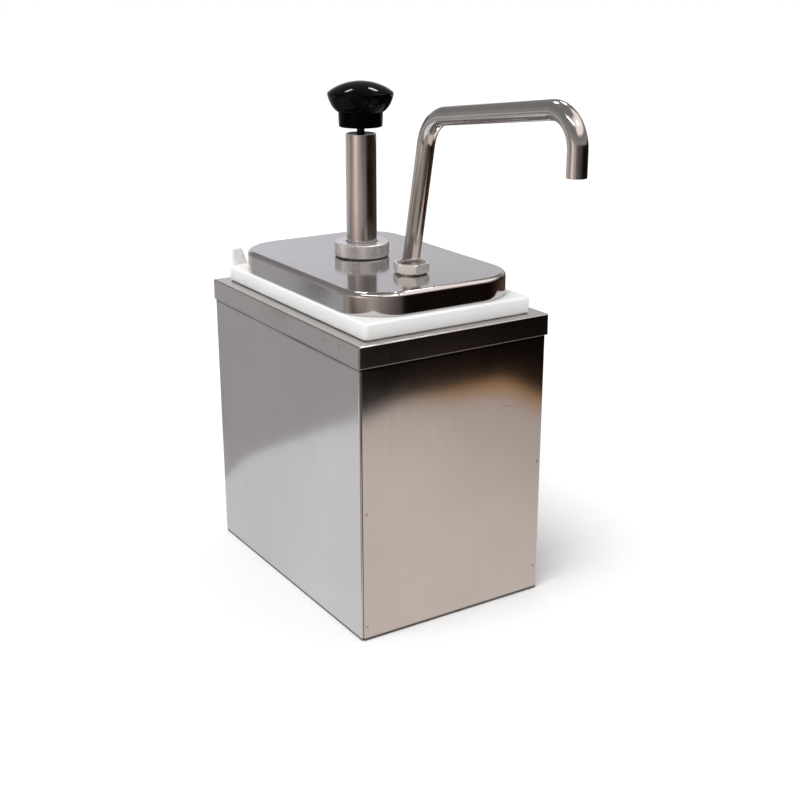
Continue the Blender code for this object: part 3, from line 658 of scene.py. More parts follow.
def top_frame():
    """The cap: a bent skirt all round, a flat top strip, and the opening that the jar hangs in."""
    low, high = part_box("top_frame")
    under = high.z - SHEET
    outline = [(0, low.z, 0.00035), (0, high.z, CAP_BEND), (0.006, high.z, 0), (0.006, under, 0)]
    outline += [(SHEET, under, CAP_BEND - SHEET), (SHEET, low.z, 0.00035)]
    loops = []
    for inset, z in filleted(outline, closed=True):
        if inset > 0.0058:
            size = (CAP_OPENING[0] / 2, CAP_OPENING[1] / 2, CAP_OPENING[2])
        else:
            size = (high.x - inset, high.y - inset, max(0.0014 - inset, 0.0005))
        loops.append([skirt_spring(p, low, high) for p in rectangle_loop(*size, z, 12, 24)])
    cap = add_object("cap_frame", loft(loops, closed=True))
    seams = []
    for side_x, side_y in ((-1, -1), (-1, 1), (1, -1), (1, 1)):
        half = Vector((0.004, CORNER_SEAM / 2, 0))
        seam = box_solid(Vector((0, 0, low.z - 0.002)) - half, Vector((0, 0, high.z - 0.0013)) + half)
        turn = Matrix.Rotation(math.radians(20) * side_x * side_y, 4, "Z")
        seam.transform(Matrix.Translation((side_x * (high.x - 0.0003), side_y * (high.y - 0.0010), 0)) @ turn)
        seams.append(seam)
    combine(cap, seams)
    welds = [(side * high.x, y, z) for y, z in SKIRT_WELDS for side in (-1, 1)]
    finish_piece(cap, "stand", "brushed_steel", sheet_steel("cap_steel", welds), "top_frame")


def spot_welds():
    """Small dished marks on the panel and on the cap's long skirts."""
    corners = [(0, 0.00002, 0), (0.0005, 0.00003, 0.0002), (0.0008, 0.0001, 0.0001)]
    corners += [(0.0011, -0.0001, 0), (0, -0.0001, 0)]
    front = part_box("front_panel")[0].y
    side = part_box("top_frame")[1].x
    places = [((x, front, z), (1, "X")) for x, z in PANEL_WELDS]
    places += [((sign * side, y, z), (sign, "Y")) for y, z in SKIRT_WELDS for sign in (-1, 1)]
    whole = bmesh.new()
    for place, (sign, axis) in places:
        bm = turned_solid(filleted(corners, False, 3), 0, 20)
        bm.transform(Matrix.Translation(place) @ Matrix.Rotation(sign * math.pi / 2, 4, axis))
        mesh = bpy.data.meshes.new("weld")
        bm.to_mesh(mesh)
        bm.free()
        whole.from_mesh(mesh)
        bpy.data.meshes.remove(mesh)
    finish_piece(add_object("spot_welds", whole), "stand", "brushed_steel", weld_metal("weld_tint"))


# ---- jar ----


def lug_solid(side, flange_top, half_x, rear):
    """An upright lug with one sloping edge, standing on the flange's rear corner."""
    outer = half_x - 0.003
    inner = outer - 0.0085
    foot = inner - 0.0055
    outline = [(outer, -0.006), (outer, LUG_HEIGHT), (inner, LUG_HEIGHT), (foot, 0), (foot, -0.006)]
    bm = bmesh.new()
    face = bm.faces.new([bm.verts.new((side * x, rear, flange_top + z)) for x, z in outline])
    grown = bmesh.ops.extrude_face_region(bm, geom=[face])
    moved = [v for v in grown["geom"] if isinstance(v, bmesh.types.BMVert)]
    bmesh.ops.translate(bm, verts=moved, vec=(0, -LUG_THICKNESS, 0))
    bmesh.ops.recalc_face_normals(bm, faces=bm.faces)
    bmesh.ops.bevel(bm, geom=bm.edges[:], offset=0.0007, segments=4, profile=0.5, affect="EDGES")
    return bm


def jar():
    """The jar's outline, from its inner floor over the rim and flange to its foot.

    A corner is (half width, height, fillet, how much longer than wide, the level corner's radius).
    """
    low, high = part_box("jar")
    flange_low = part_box("top_frame")[1].z + GAP
    flange_top = flange_low + JAR_FLANGE_HEIGHT
    rim_top = flange_top + JAR_RIM_HEIGHT
    floor = low.z + JAR_WALL
    inside = JAR_RIM_X - JAR_RIM_WALL
    body = (JAR_LONGER, JAR_BODY_CORNER)
    inner_body = (JAR_LONGER, JAR_BODY_CORNER - JAR_WALL)
    rim = (JAR_RIM_LONGER, JAR_RIM_CORNER)
    inner_rim = (JAR_RIM_LONGER, JAR_RIM_CORNER - JAR_RIM_WALL)
    outline = [
        (JAR_FOOT_X - JAR_WALL - 0.02, floor, 0, JAR_LONGER, 0.006),
        (JAR_FOOT_X - JAR_WALL, floor, 0.006, *inner_body),
        (JAR_BODY_X - JAR_WALL, flange_top - 0.005, 0.0008, *inner_body),
        (inside, flange_top - 0.001, 0.0008, *inner_rim),
        (inside, rim_top, 0.0012, *inner_rim),
        (JAR_RIM_X, rim_top, 0.0012, *rim),
        (JAR_RIM_X, flange_top, 0.0008, *rim),
        (high.x, flange_top, 0.0018, JAR_LONGER, JAR_FLANGE_CORNER),
        (high.x, flange_low, 0.0012, JAR_LONGER, JAR_FLANGE_CORNER),
        (JAR_BODY_X, flange_low, 0.0008, *body),
        (JAR_FOOT_X, low.z, 0.005, *body),
        (JAR_FOOT_X - 0.02, low.z, 0, JAR_LONGER, 0.006),
    ]
    loops = []
    for half_x, z, longer, corner in filleted(outline, closed=False):
        loops.append(rectangle_loop(half_x, half_x + longer, corner, z, 10))
    white_jar = add_object("sauce_jar", loft(loops, closed=False))
    rear = high.x + JAR_LONGER - 0.0002
    combine(white_jar, [lug_solid(side, flange_top, high.x, rear) for side in (-1, 1)], "UNION")
    finish_piece(white_jar, "jar", "white_plastic", white_plastic("milk_white"), "jar")


# ---- lid and the pump's fixed pieces ----


def lid():
    low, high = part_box("lid")
    under = high.z - SHEET
    outline = [(0.020, high.z, 0), (0, high.z, LID_EDGE), (0, low.z, 0.00035), (SHEET, low.z, 0.00035)]
    outline += [(SHEET, under, LID_EDGE - SHEET), (0.020, under, 0)]
    loops = []
    for inset, z in filleted(outline, closed=False, steps=12):
        loops.append(rectangle_loop(high.x - inset, high.y - inset, LID_CORNER - inset, z, 24))
    pan = add_object("lid_pan", loft(loops, closed=False))
    holes = ((PUMP_HOLE, PUMP_Y), (OUTLET_HOLE, SPOUT_Y))
    combine(pan, [rod_solid(radius, high.z + 0.004, high.z - 0.004, y, 96) for radius, y in holes])
    finish_piece(pan, "lid", "polished_steel", pressed_steel("lid_steel"), "lid")


def thread(pitch, crest, low, high):
    """A radius rule that cuts a screw thread into the outer side of a turned piece."""

    def shape(radius, z, angle):
        if abs(radius - crest) > 1e-5 or not low < z < high:
            return radius
        turn = (z / pitch - angle / math.tau) % 1
        fade = min(1, (z - low) / pitch, (high - z) / pitch)
        return radius - THREAD_DEPTH * fade * (1 - abs(2 * turn - 1))

    return shape


def rows(radius, high, low, step):
    """Profile points down a cylinder, close enough together to carry a thread."""
    count = math.ceil((high - low) / step)
    return [(radius, high + (low - high) * k / count) for k in range(1, count)]


def threaded_neck(name, node, y, pitch, ease, sides, corners, steel):
    """A neck through the lid, screwed down to its flange. The first corner is at the flange's top."""
    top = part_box(node)[1].z
    neck, flange = corners[0][:2]
    start = flange + 0.001
    profile = [(neck, top - ease)] + rows(neck, top - ease, start, pitch / 8)
    profile += filleted([(neck, start, 0)] + corners + [(neck - ease, top, 0)], closed=False)
    shape = thread(pitch, neck, start, top)
    piece = add_object(name, turned_solid(profile, y, sides, shape), 40)
    finish_piece(piece, "lid", "satin_steel", steel, node)


def pump_head():
    low, high = round_box("pump_head")[:2]
    neck, skirt, socket, guide, mouth = 0.018, 0.020, 0.0173, 0.0135, 0.0157
    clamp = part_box("pump_gasket")[0].z - GAP
    under = clamp - NECK_FLANGE
    corners = [(neck, clamp, 0.0004), (0.025, clamp, 0.0005), (0.025, under, 0.0005), (skirt, under, 0.0006)]
    corners += [(skirt, low, 0.0006), (socket, low, 0.0003), (socket, under, 0), (guide, under, 0.0003)]
    corners += [(guide, clamp - 0.0013, 0), (mouth, clamp - 0.0013, 0), (mouth, high, 0.0004)]
    steel = turned_steel("neck_steel", 0.22)
    threaded_neck("pump_neck", "pump_head", PUMP_Y, COLLAR_THREAD, 0.0006, 120, corners, steel)


def outlet_fitting():
    low, high = round_box("outlet_fitting")[:2]
    neck, way, mouth = 0.010, 0.006, 0.0085
    socket_top, seat = 0.258, 0.264
    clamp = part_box("outlet_gasket")[0].z - GAP
    under = clamp - NECK_FLANGE
    corners = [(neck, clamp, 0.0003), (0.015, clamp, 0.0005), (0.015, under, 0.0005), (neck, under, 0.0005)]
    corners += [(neck, low, 0.0004), (RISER_SOCKET, low, 0.0003), (RISER_SOCKET, socket_top, 0)]
    corners += [(way, socket_top, 0.0003), (way, seat, 0.0003), (mouth, seat, 0), (mouth, high, 0.0003)]
    steel = turned_steel("fitting_steel", 0.2)
    threaded_neck("outlet_neck", "outlet_fitting", SPOUT_Y, NUT_THREAD, 0.0005, 96, corners, steel)


def plain_tube(name, node, y, wall, material, body="lid", slot="satin_steel"):
    """A straight tube with eased edges in place of its CAD node."""
    low, high, radius = round_box(node)
    inner = radius - wall
    corners = [(radius, high, 0.0003), (radius, low, 0.0003), (inner, low, 0.0003), (inner, high, 0.0003)]
    return finish_piece(turned_object(name, corners, y, 96, arc=4), body, slot, material, node)


def pump_cylinder():
    steel = tube_steel("cylinder_steel", 0.18)
    plain_tube("pump_cylinder", "cylinder", PUMP_Y, PUMP_TUBE_WALL, steel)


def riser_tube():
    """The riser, drilled across near its foot for the ball's stop pin."""
    riser = plain_tube("riser_pipe", "riser_tube", SPOUT_Y, SPOUT_WALL, tube_steel("riser_steel", 0.2))
    low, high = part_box("outlet_stop_pin")
    drill = rod_solid(0.0013, 0.02, -0.02, 0, 24)
    across = Matrix.Rotation(math.pi / 2, 4, "Y")
    drill.transform(Matrix.Translation((0, SPOUT_Y, (low.z + high.z) / 2)) @ across)
    riser.modifiers.clear()
    combine(riser, [drill])
    even_shading(riser)


def solid_plug(radius, high, low, y, ease):
    corners = [(0, high, 0), (radius, high, ease), (radius, low, ease), (0, low, 0)]
    return turned_solid(filleted(corners, closed=False, steps=4), y, 64)


def valve_body():
    """The foot casting with soft fillets where its cup, arm and tower meet, and crisp bores."""
    low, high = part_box("valve_body")
    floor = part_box("cylinder_gasket")[0].z - GAP
    passage = floor - 0.0045
    body = add_object("valve_casting", solid_plug(0.021, floor + 0.014, low.z, PUMP_Y, 0.0015))
    arm = box_solid((-0.007, SPOUT_Y, passage - 0.0075), (0.007, PUMP_Y, passage + 0.0075), 0.0015)
    tower = solid_plug(0.012, high.z, passage - 0.0085, SPOUT_Y, 0.001)
    combine(body, [arm, tower], "UNION")
    remesh = body.modifiers.new("cast skin", "REMESH")
    remesh.mode = "VOXEL"
    remesh.voxel_size = 0.0006
    smooth = body.modifiers.new("cast fillets", "SMOOTH")
    smooth.factor = 0.5
    smooth.iterations = 7
    freeze(body)
    bore, inlet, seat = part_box("cylinder")[1].x + GAP, 0.008, 0.0093
    chamber = [(0, floor + 0.016), (bore, floor + 0.016), (bore, floor), (inlet, floor)]
    chamber += [(inlet, floor - 0.0095), (seat, floor - 0.0095), (seat, low.z - 0.002), (0, low.z - 0.002)]
    socket_floor = 0.1165
    outlet = [(0, high.z + 0.002), (RISER_SOCKET, high.z + 0.002), (RISER_SOCKET, socket_floor)]
    outlet += [(PASSAGE_RADIUS, socket_floor), (PASSAGE_RADIUS, passage), (0, passage)]
    drill = rod_solid(PASSAGE_RADIUS, 0, -0.0855, 0, 32)
    turn = Matrix.Rotation(-math.pi / 2, 4, "X")
    drill.transform(Matrix.Translation((0, PUMP_Y - 0.005, passage)) @ turn)
    combine(body, [turned_solid(chamber, PUMP_Y), turned_solid(outlet, SPOUT_Y, 64), drill], sharp=28)
    finish_piece(body, "lid", "satin_steel", cast_steel("casting"), "valve_body")


def passage_plug():
    """A slotted plug that closes the end of the drilled passage."""
    low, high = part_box("passage_plug")
    head, shank = (high.x - low.x) / 2, 0.0032
    length = high.y - low.y
    corners = [(0, 0, 0), (head, 0, 0.0006), (head, -0.0025, 0.0003), (shank, -0.0025, 0)]
    corners += [(shank, -length, 0.0004), (0, -length, 0)]
    plug = turned_object("passage_screw", corners, 0, 48, closed=False, arc=4)
    combine(plug, [box_solid((-0.0005, -0.01, -0.001), (0.0005, 0.01, 0.001))])
    turn = Matrix.Rotation(math.pi / 2, 4, "X")
    plug.data.transform(Matrix.Translation((0, low.y, (low.z + high.z) / 2)) @ turn)
    finish_piece(plug, "lid", "satin_steel", turned_steel("plug_steel", 0.22), "passage_plug")


# ---- pieces screwed on above the lid ----


def collar():
    """The knurled ring: fine upright flutes between two chamfers, and a flat turned top."""
    low, high, radius = round_box("collar")
    opening, ledge = 0.0134, high - 0.0027
    corners = [(opening, high, 0.0003), (radius - 0.0008, high, 0.00015), (radius, high - 0.0008, 0)]
    corners += [(radius, low + 0.0006, 0), (radius - 0.0006, low, 0.00015), (PUMP_HOLE, low, 0.0003)]
    corners += [(PUMP_HOLE, ledge, 0), (opening, ledge, 0.0003)]

    def flutes(reach, z, angle):
        if reach < radius - 1e-6:
            return reach
        wave = 1 - abs(2 * ((angle / math.tau * KNURL_COUNT) % 1) - 1)
        return reach - KNURL_DEPTH * wave

    ring = turned_object("knurled_collar", corners, PUMP_Y, KNURL_COUNT * 4, shape=flutes, sharp=24)
    steel = turned_steel("collar_steel", 0.26, (0.92, 0.91, 0.91), 0.8)
    finish_piece(ring, "collar", "polished_steel", steel, "collar")


def spout_nut():
    """A hexagon with turned chamfers and a round recess that the spout stands in."""
    low, high = round_box("spout_nut")[:2]
    corner, recess = 0.015, 0.0119
    corners = [(recess, high, 0.0003), (corner - 0.0012, high, 0.0002), (corner, high - 0.0009, 0)]
    corners += [(corner, low + 0.0011, 0), (corner - 0.0014, low, 0.0002), (OUTLET_HOLE, low, 0.0003)]
    corners += [(OUTLET_HOLE, low + 0.003, 0), (recess, low + 0.004, 0)]
    flat = corner * math.cos(math.pi / 6)

    def hexagon(reach, z, angle):
        if reach < flat - 0.0004:
            return reach
        off = (angle - NUT_TURN) % (math.pi / 3) - math.pi / 6
        return min(reach, flat / math.cos(off) + 0.0001)

    nut = turned_object("spout_nut_hex", corners, SPOUT_Y, 180, shape=hexagon, sharp=26)
    steel = turned_steel("nut_steel", 0.30, (0.97, 0.95, 0.93), 0.65)
    finish_piece(nut, "spout_nut", "polished_steel", steel, "spout_nut")


# ---- spout ----


def spout_path():
    corners = [Vector((0, *place)) for place in SPOUT_CORNERS]
    corners.append(Vector((0, SPOUT_CORNERS[-1][0], SPOUT_END_Z)))
    return divided(filleted_path(corners, SPOUT_BENDS, 28), 0.012)


def spout_tube():
    """The bent tube, hollow, with eased ends. Its foot is cut level where it stands on the ferrule."""
    path = spout_path()
    sets = frames_along(path)
    radius = round_box("spout_tube")[2]
    ease = 0.00025
    lean = ahead_at(path, 0)
    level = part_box("spout_ferrule")[1].z + GAP
    point, side, up = sets[-1]
    raised = (point + Vector((0, 0, ease)), side, up)
    skins = []
    for reach in (radius, radius - SPOUT_WALL):
        skin = [ring_at(s, reach, 64) for s in sets]
        skin[0] = [p + lean * (level - p.z) / lean.z for p in skin[0]]
        skin[-1] = ring_at(raised, reach, 64)
        skins.append(skin)
    rim = [ring_at(sets[-1], radius - ease, 64), ring_at(sets[-1], radius - SPOUT_WALL + ease, 64)]
    tube = add_object("spout_pipe", loft(skins[0] + rim + skins[1][::-1], closed=True), 40)
    finish_piece(tube, "spout", "polished_steel", tube_steel("spout_steel", 0.15), "spout_tube")


def spout_ferrule():
    low, high, outer = round_box("spout_ferrule")
    groove = sum(round_box("spout_oring")[:2]) / 2
    bore, bed = 0.0050, 0.0063
    corners = [(outer, high, 0.0003), (outer, groove + 0.0012, 0.0002), (bed, groove + 0.0012, 0.0002)]
    corners += [(bed, groove - 0.0012, 0.0002), (outer, groove - 0.0012, 0.0002), (outer, low, 0.0004)]
    corners += [(bore, low, 0.0002), (bore, high, 0)]
    ferrule = turned_object("swivel_ferrule", corners, SPOUT_Y, 96)
    finish_piece(ferrule, "spout", "polished_steel", turned_steel("ferrule_steel", 0.16), "spout_ferrule")


def spout_weld():
    """The rippled bead that joins the tube to its ferrule."""
    path = spout_path()
    lean = ahead_at(path, 0)
    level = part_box("spout_ferrule")[1].z + 0.0004
    reach = round_box("spout_tube")[2] + 0.0002
    turns = [math.tau * j / 12 for j in range(12)]
    loops = []
    for k in range(160):
        angle = math.tau * k / 160
        out = Vector((math.cos(angle), math.sin(angle), 0))
        centre = Vector((0, path[0].y, level)) + out * reach * math.hypot(out.x, out.y / lean.z)
        size = 0.00072 + 0.00009 * math.sin(angle * 23)
        loops.append([centre + (out * math.cos(t) + Vector((0, 0, 0.9 * math.sin(t)))) * size for t in turns])
    bead = add_object("spout_weld_bead", loft(loops, closed=True), 60)
    finish_piece(bead, "spout", "polished_steel", weld_metal("bead_tint"))


# ---- plunger ----


def knob():
    """Down the outer side: peaked dome, narrow rim, a flare between a cone and a bowl, ledge, neck."""
    low, high, rim = round_box("knob")
    ledge = KNOB_NECK_RADIUS + 0.0014
    flare_top = KNOB_RIM_Z - 0.0012
    profile = [(0, high)]
    for i in range(1, 28):
        angle = math.radians(86 * i / 27)
        profile.append((rim * math.sin(angle), KNOB_RIM_Z + (high - KNOB_RIM_Z) * math.cos(angle) ** 1.7))
    for i in range(1, 28):
        share = i / 27
        angle = math.radians(90 * share)
        inward = (share + 1 - math.cos(angle)) / 2
        down = (share + math.sin(angle)) / 2
        profile.append((rim - (rim - ledge) * inward, flare_top - (flare_top - KNOB_NECK_TOP) * down))
    bore, bore_top = 0.0062, 0.3965
    neck = [(ledge, KNOB_NECK_TOP, 0), (KNOB_NECK_RADIUS + 0.0004, KNOB_NECK_TOP - 0.0002, 0.0004)]
    neck += [(KNOB_NECK_RADIUS, low, 0.0008), (bore + 0.0002, low, 0.0004)]
    neck += [(bore, bore_top, 0.0004), (0, bore_top, 0)]
    profile += filleted(neck, closed=False)[1:]
    handle = add_object("push_knob", turned_solid(profile, PUMP_Y, 128), 50)
    finish_piece(handle, "plunger", "black_plastic", gloss_black("phenolic"), "knob")


def plunger_rod():
    low, high, radius = round_box("plunger_rod")
    rod = add_object("push_rod", solid_plug(radius, high, low, PUMP_Y, 0.0005))
    finish_piece(rod, "plunger", "black_steel", black_oxide("rod_black"), "plunger_rod")


def plunger_sleeve():
    steel = tube_steel("sleeve_steel", 0.19)
    plain_tube("push_sleeve", "plunger_sleeve", PUMP_Y, PUMP_TUBE_WALL, steel, "plunger", "brushed_steel")


def sleeve_cap():
    """The black cap in the sleeve's mouth, dished round the rod."""
    low, high, radius = round_box("sleeve_cap")
    bore = 0.00355
    corners = [(radius, high, 0.0006), (radius, low, 0.0004), (bore, low, 0), (bore, high - 0.0006, 0.0003)]
    corners += [(0.0060, high - 0.0002, 0.001), (radius - 0.002, high, 0.001)]
    cap = turned_object("sleeve_mouth_cap", corners, PUMP_Y, 96, arc=4)
    finish_piece(cap, "plunger", "black_plastic", matt_black("cap_black"), "sleeve_cap")


def return_spring():
    """The wire between the spring seat and the piston, closed at both ends."""
    low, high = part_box("return_spring")
    radius = (high.x - low.x) / 2 - SPRING_WIRE
    start = low.z + SPRING_WIRE
    closed_pitch = 2 * SPRING_WIRE + 0.0001
    open_turns = SPRING_TURNS - 2
    open_pitch = (high.z - SPRING_WIRE - start - 2 * closed_pitch) / open_turns
    path = []
    for i in range(SPRING_TURNS * 40 + 1):
        turns = i / 40
        middle = min(max(turns - 1, 0), open_turns)
        ends = min(turns, 1) + max(turns - 1 - open_turns, 0)
        height = start + ends * closed_pitch + middle * open_pitch
        angle = math.tau * turns
        path.append(Vector((radius * math.cos(angle), PUMP_Y + radius * math.sin(angle), height)))
    loops = [ring_at(s, SPRING_WIRE, 14) for s in frames_along(path)]
    spring = add_object("spring_wire", loft(loops, closed=False), 60)
    finish_piece(spring, "lid", "polished_steel", turned_steel("spring_steel", 0.2), "return_spring")
    spring.modifiers.clear()
    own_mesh(spring)


# ---- CAD pieces that keep their shape ----


# Small turned pieces, with the roughness of each
TURNED_NODES = {
    "inlet_seat": 0.22, "spring_seat": 0.24, "outlet_stop_pin": 0.18, "spout_washer": 0.16,
    "seal_washer": 0.18, "piston_nut": 0.2, "inlet_ball": 0.1, "outlet_ball": 0.1,
}


def dress_cad_nodes():
    """Gives each small CAD node that stays its own procedural finish."""
    finishes = {"base_plate": sheet_steel("base_steel"), "knob_insert": brass("insert_brass")}
    seals = ("pump_gasket", "outlet_gasket", "cylinder_gasket", "spout_oring", "piston_oring", "cup_seal")
    for name in seals:
        finishes[name] = rubber(name + "_rubber")
    finishes["collar_washer"] = rubber("collar_washer_rubber", (0.13, 0.126, 0.122), (0.21, 0.205, 0.20))
    for name in ("guide_bush", "piston"):
        finishes[name] = natural_plastic(name + "_plastic")
    for name, roughness in TURNED_NODES.items():
        finishes[name] = turned_steel(name + "_steel", roughness)
    for name, material in finishes.items():
        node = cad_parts[name]
        node.data.materials.clear()
        node.data.materials.append(material)


# ---- studio ----

CAMERA_AZIMUTH = math.radians(32.57)
CAMERA_ELEVATION = math.radians(19.0)
CAMERA_PLACE = (-0.5443, -0.8954, 0.5116)
CAMERA_LENS = 57.37

DARK = (0.007, 0.0035, 0.0025)
BROWN = (0.030, 0.013, 0.006)
SHADE = (0.075, 0.045, 0.030)
AMBER = (0.52, 0.28, 0.12)
WARM_FLOOR = (0.84, 0.75, 0.70)
WARM_SHADE = (0.60, 0.53, 0.49)
LEFT_FLOOR = (0.82, 0.84, 0.88)
LEFT_FLOOR_NEAR = (0.91, 0.92, 0.96)
DULL_FLOOR = (0.40, 0.37, 0.35)
FAR_FLOOR = (0.62, 0.57, 0.54)
NEAR_REAR_FLOOR = (0.28, 0.25, 0.235)
SLATE = (0.46, 0.455, 0.465)
BACKDROP = (0.74, 0.73, 0.80)
BACKDROP_RIGHT = (0.64, 0.635, 0.66)
ROOM = (0.34, 0.32, 0.315)
OVERHEAD = (0.26, 0.25, 0.25)
CEILING = (1.35, 1.23, 1.17)

# What stands round the table: degrees from the front towards the right, colour, share of it low down
WALL = (
    (-140, (0.30, 0.28, 0.27), 0.5), (-121, (0.355, 0.31, 0.29), 0.8), (-104, (0.47, 0.41, 0.385), 0.85),
    (-90, (0.66, 0.575, 0.53), 0.2), (-72, (1.25, 1.07, 0.97), 0.12), (-60, (0.80, 0.68, 0.61), 0.33),
    (-47, (0.50, 0.43, 0.39), 0.95), (-33, (0.53, 0.46, 0.43), 0.5), (-14, (0.32, 0.28, 0.26), 0.42),
    (0, (0.20, 0.17, 0.155), 0.4), (12, (0.03, 0.02, 0.016), 1), (20, DARK, 0.6), (44, DARK, 0.6),
    (60, BROWN, 1), (85, SHADE, 1.3), (150, SHADE, 1.3),
)
# The wall's foot round the table, from the rear right round the front to the rear left
WALL_PATH = (
    (0.40, 0.55), (0.62, 0.06), (0.66, -0.62), (0.06, -0.62),
    (-0.37, -0.60), (-0.60, -0.36), (-0.66, -0.10), (-0.72, 0.46),
)
# The window in the wall: azimuth of its middle, and how far to either side it stays bright high up
WINDOW = (-66, 26)


def mixed(first, second, share):
    """A colour or a number between the two, eased at both ends."""
    share = unit(share)
    share = share * share * (3 - 2 * share)
    if isinstance(first, tuple):
        return tuple(a + (b - a) * share for a, b in zip(first, second))
    return first + (second - first) * share


def card(name, place_at, colour_at, columns=24, rows_count=10):
    """A glowing sheet. place_at and colour_at give the point and colour for shares across and up it.

    Metal and gloss reflect it, and it neither shows nor lights anything.
    """
    bm = bmesh.new()
    layer = bm.verts.layers.float_color.new("glow")
    grid = []
    for j in range(rows_count + 1):
        for i in range(columns + 1):
            point = Vector(place_at(i / columns, j / rows_count))
            grid.append(bm.verts.new(point))
            grid[-1][layer] = (*colour_at(point), 1)
    width = columns + 1
    for corner in range(width * rows_count):
        if (corner + 1) % width:
            across = (corner, corner + 1, corner + 1 + width, corner + width)
            bm.faces.new([grid[k] for k in across])
    thing = add_object(name, bm)
    material = bpy.data.materials.new(name)
    material.use_nodes = True
    tree = material.node_tree
    tree.nodes.clear()
    kinds = ("Attribute", "Emission", "OutputMaterial")
    attribute, emission, output = (tree.nodes.new("ShaderNode" + kind) for kind in kinds)
    attribute.attribute_name = "glow"
    tree.links.new(attribute.outputs["Color"], emission.inputs["Color"])
    tree.links.new(emission.outputs["Emission"], output.inputs["Surface"])
    thing.data.materials.append(material)
    for ray in ("camera", "diffuse", "shadow", "transmission", "volume_scatter"):
        setattr(thing, "visible_" + ray, False)
    return thing


def front_floor_colour(point):
    """Warm table before the stand. Towards its front and right edges it turns amber, then dark."""
    base = mixed(WARM_FLOOR, WARM_SHADE, (point.x - 0.05) / 0.33)
    front_edge = -0.600 + 0.28 * max(0, 0.27 - point.x)
    inside = min(point.y - front_edge, 0.418 - point.x)
    amber = mixed(base, AMBER, (point.x - 0.20) / 0.15)
    return mixed(mixed(base, amber, (0.064 - inside) / 0.048), DARK, (0.007 - inside) / 0.012)


def left_floor_colour(point):
    """Cool floor beside the stand, a little brighter near its front corner."""
    seen_from = point.y + 1.566 * (point.x + 0.0875)
    return mixed(LEFT_FLOOR, LEFT_FLOOR_NEAR, (0.06 - seen_from) / 0.14)


def rear_floor_colour(point):
    return mixed(NEAR_REAR_FLOOR, FAR_FLOOR, (point.length - 0.75) / 0.45)


def wall_colour(point):
    """The wall's colour at that azimuth, dimmer low down, and dimmer high up beside the window."""
    azimuth = math.degrees(math.atan2(point.x, PUMP_Y - point.y))
    colour, low = WALL[0][1:] if azimuth < 0 else WALL[-1][1:]
    for (before, first, first_low), (after, second, second_low) in zip(WALL, WALL[1:]):
        if before <= azimuth <= after:
            share = (azimuth - before) / (after - before)
            colour = tuple(a + (b - a) * share for a, b in zip(first, second))
            low = first_low + (second_low - first_low) * share
    low = mixed(low, 1, (point.z - 0.125) / 0.03)
    beside_window = unit((abs(azimuth - WINDOW[0]) - WINDOW[1]) / 8)
    high = mixed(1, 1 - 0.65 * beside_window, (point.z - 0.23) / 0.07)
    return tuple(c * low * high for c in colour)


def slate_place(across, up):
    """The grey card's points: it stands behind the table's left side and curves in towards the stand."""
    x = -0.75 + 0.62 * across
    y = 0.307 - 0.12 * (x + 0.25) - 4.2 * max(0, x + 0.25) ** 2
    return (x, y, 0.26 * up)


def slate_colour(point):
    """A grey card with a dark and a light patch along its upper half."""
    patch = 1 - 0.6 * math.exp(-((point.x + 0.272) / 0.022) ** 2)
    patch += 0.4 * math.exp(-((point.x + 0.308) / 0.012) ** 2)
    patch = mixed(patch, 0.35, (-0.318 - point.x) / 0.02)
    upper = unit((point.z - 0.145) / 0.02) * unit((0.235 - point.z) / 0.02)
    return tuple(c * (1 + (patch - 1) * upper) for c in SLATE)


def dome_colour(point):
    """The room above: pale low behind the lid, dim elsewhere, with a bright ceiling before the front."""
    way = point.normalized()
    elevation = math.degrees(math.asin(unit(way.z)))
    azimuth = math.degrees(math.atan2(way.x, way.y))
    pale = mixed(BACKDROP, BACKDROP_RIGHT, (azimuth - 24) / 14)
    beside = max(mixed(1, 0, (azimuth + 4) / 14), mixed(0, 1, (azimuth - 52) / 14))
    level = mixed(pale, ROOM, beside)
    level = mixed(level, OVERHEAD, (elevation - 19) / 9)
    from_front = math.degrees(math.atan2(way.x, -way.y))
    ceiling = unit((70 - abs(from_front - 34)) / 12) * unit((22 - abs(elevation - 52)) / 7)
    return mixed(level, CEILING, ceiling)


def half_globe(radius, s, t):
    turn = math.tau * s
    lift = math.pi / 2 * t
    level = radius * math.cos(lift)
    return (level * math.cos(turn), level * math.sin(turn), radius * math.sin(lift))


def add_backdrop():
    """White all round beyond the floor. Only the camera sees it."""
    backdrop = card("backdrop", lambda s, t: half_globe(14, s, t), lambda p: (1, 1, 1), 48, 16)
    backdrop.visible_camera = True
    backdrop.visible_glossy = False


def flat_card(name, low, size, z, colour_at, *counts):
    card(name, lambda s, t: (low[0] + size[0] * s, low[1] + size[1] * t, z), colour_at, *counts)


def add_cards():
    floor = 0.0004
    flat_card("front_floor_card", (-0.16, -0.62), (1, 0.4945), floor, front_floor_colour, 48, 48)
    flat_card("left_floor_card", (-0.50, -0.13), (0.4118, 0.85), floor, left_floor_colour, 24, 24)
    flat_card("near_floor_card", (-0.80, -0.75), (0.64, 0.62), floor, lambda p: DULL_FLOOR)
    flat_card("rear_floor_card", (-2.2, 0.36), (3.4, 2.2), 2 * floor, rear_floor_colour, 40, 40)
    for start, end in zip(WALL_PATH, WALL_PATH[1:]):
        foot, along = Vector((*start, 0)), Vector((*end, 0)) - Vector((*start, 0))
        height = 0.30 if max(start[1], end[1]) > 0.4 else 0.45
        card("room_wall", lambda s, t: foot + along * s + Vector((0, 0, height * t)), wall_colour)
    card("slate_card", slate_place, slate_colour, 90, 26)
    card("studio_dome", lambda s, t: half_globe(3, s, t), dome_colour, 120, 45)


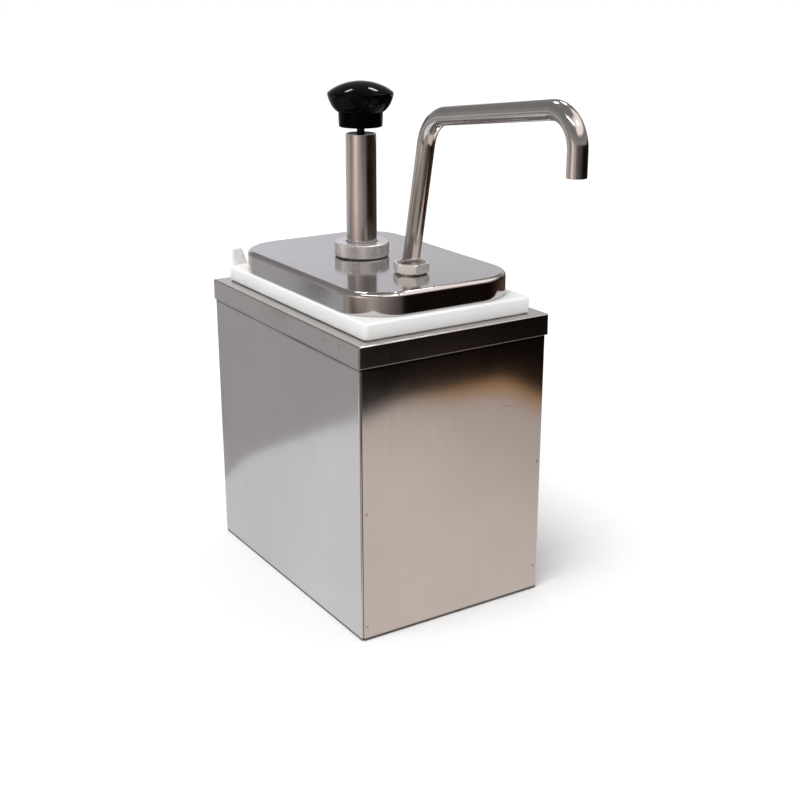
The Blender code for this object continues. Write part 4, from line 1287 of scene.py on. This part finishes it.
def add_softbox(name, centre, size, strength):
    """A bright panel that faces the pump and shows only as a highlight."""
    centre = Vector(centre)
    turn = (Vector((0, 0, 0.27)) - centre).to_track_quat("Z", "Y").to_matrix()

    def place(s, t):
        return centre + turn @ Vector((size[0] * (s - 0.5), size[1] * (t - 0.5), 0))

    card(name, place, lambda p: (strength, strength * 0.98, strength * 0.95), 2, 2)


def add_sun():
    """Soft daylight from the upper left. It lights dull surfaces only: the cards light the shiny ones."""
    light = bpy.data.lights.new("daylight", "SUN")
    light.energy = 1.92
    light.angle = math.radians(32)
    lamp = link_new("daylight", light)
    lamp.rotation_euler = Vector((0.36, 0.12, -0.92)).to_track_quat("-Z", "Y").to_euler()
    lamp.visible_glossy = False


def add_floor():
    bm = bmesh.new()
    bmesh.ops.create_grid(bm, x_segments=1, y_segments=1, size=30)
    floor = add_object("studio_floor", bm)
    shader = Shader("floor_paper")
    fibre = shader.noise(40, 3)
    base = shader.blend(fibre, (0.93, 0.93, 0.93), (0.95, 0.95, 0.95))
    shader.set(shader.surface, Base_Color=base, Roughness=0.9, Specular_IOR_Level=0.0)
    floor.data.materials.append(shader.material)


def add_world():
    world = bpy.data.worlds.new("studio_world")
    bpy.context.scene.world = world
    world.use_nodes = True
    background = world.node_tree.nodes["Background"]
    background.inputs["Color"].default_value = (1, 1, 1, 1)
    background.inputs["Strength"].default_value = 0.61
    world.cycles_visibility.glossy = False


def add_camera():
    camera_data = bpy.data.cameras.new("studio_camera")
    camera_data.lens = CAMERA_LENS
    camera_data.sensor_width = 36
    camera_data.clip_end = 100
    camera = link_new("studio_camera", camera_data)
    camera.location = CAMERA_PLACE
    tilt = math.tan(CAMERA_ELEVATION)
    ahead = Vector((math.sin(CAMERA_AZIMUTH), math.cos(CAMERA_AZIMUTH), -tilt))
    camera.rotation_euler = ahead.to_track_quat("-Z", "Y").to_euler()
    bpy.context.scene.camera = camera


def add_studio():
    bpy.context.scene.view_settings.view_transform = "Standard"
    add_floor()
    add_world()
    add_cards()
    add_backdrop()
    add_sun()
    add_softbox("left_window", (-1.14, -0.62, 1.9), (1.2, 0.17), 9)
    add_softbox("front_window", (0.35, -1.20, 1.9), (0.6, 0.17), 9)
    add_softbox("rear_window", (0.10, 1.21, 2.26), (0.38, 0.14), 30)
    add_softbox("rear_right_window", (1.11, 0.85, 2.12), (0.42, 0.16), 30)
    add_camera()


for build in (
    add_studio, stand_wrap, front_panel, top_frame, spot_welds, jar, lid, pump_head, outlet_fitting,
    pump_cylinder, riser_tube, valve_body, passage_plug, collar, spout_nut, spout_tube, spout_ferrule,
    spout_weld, knob, plunger_rod, plunger_sleeve, sleeve_cap, return_spring, dress_cad_nodes,
):
    build()
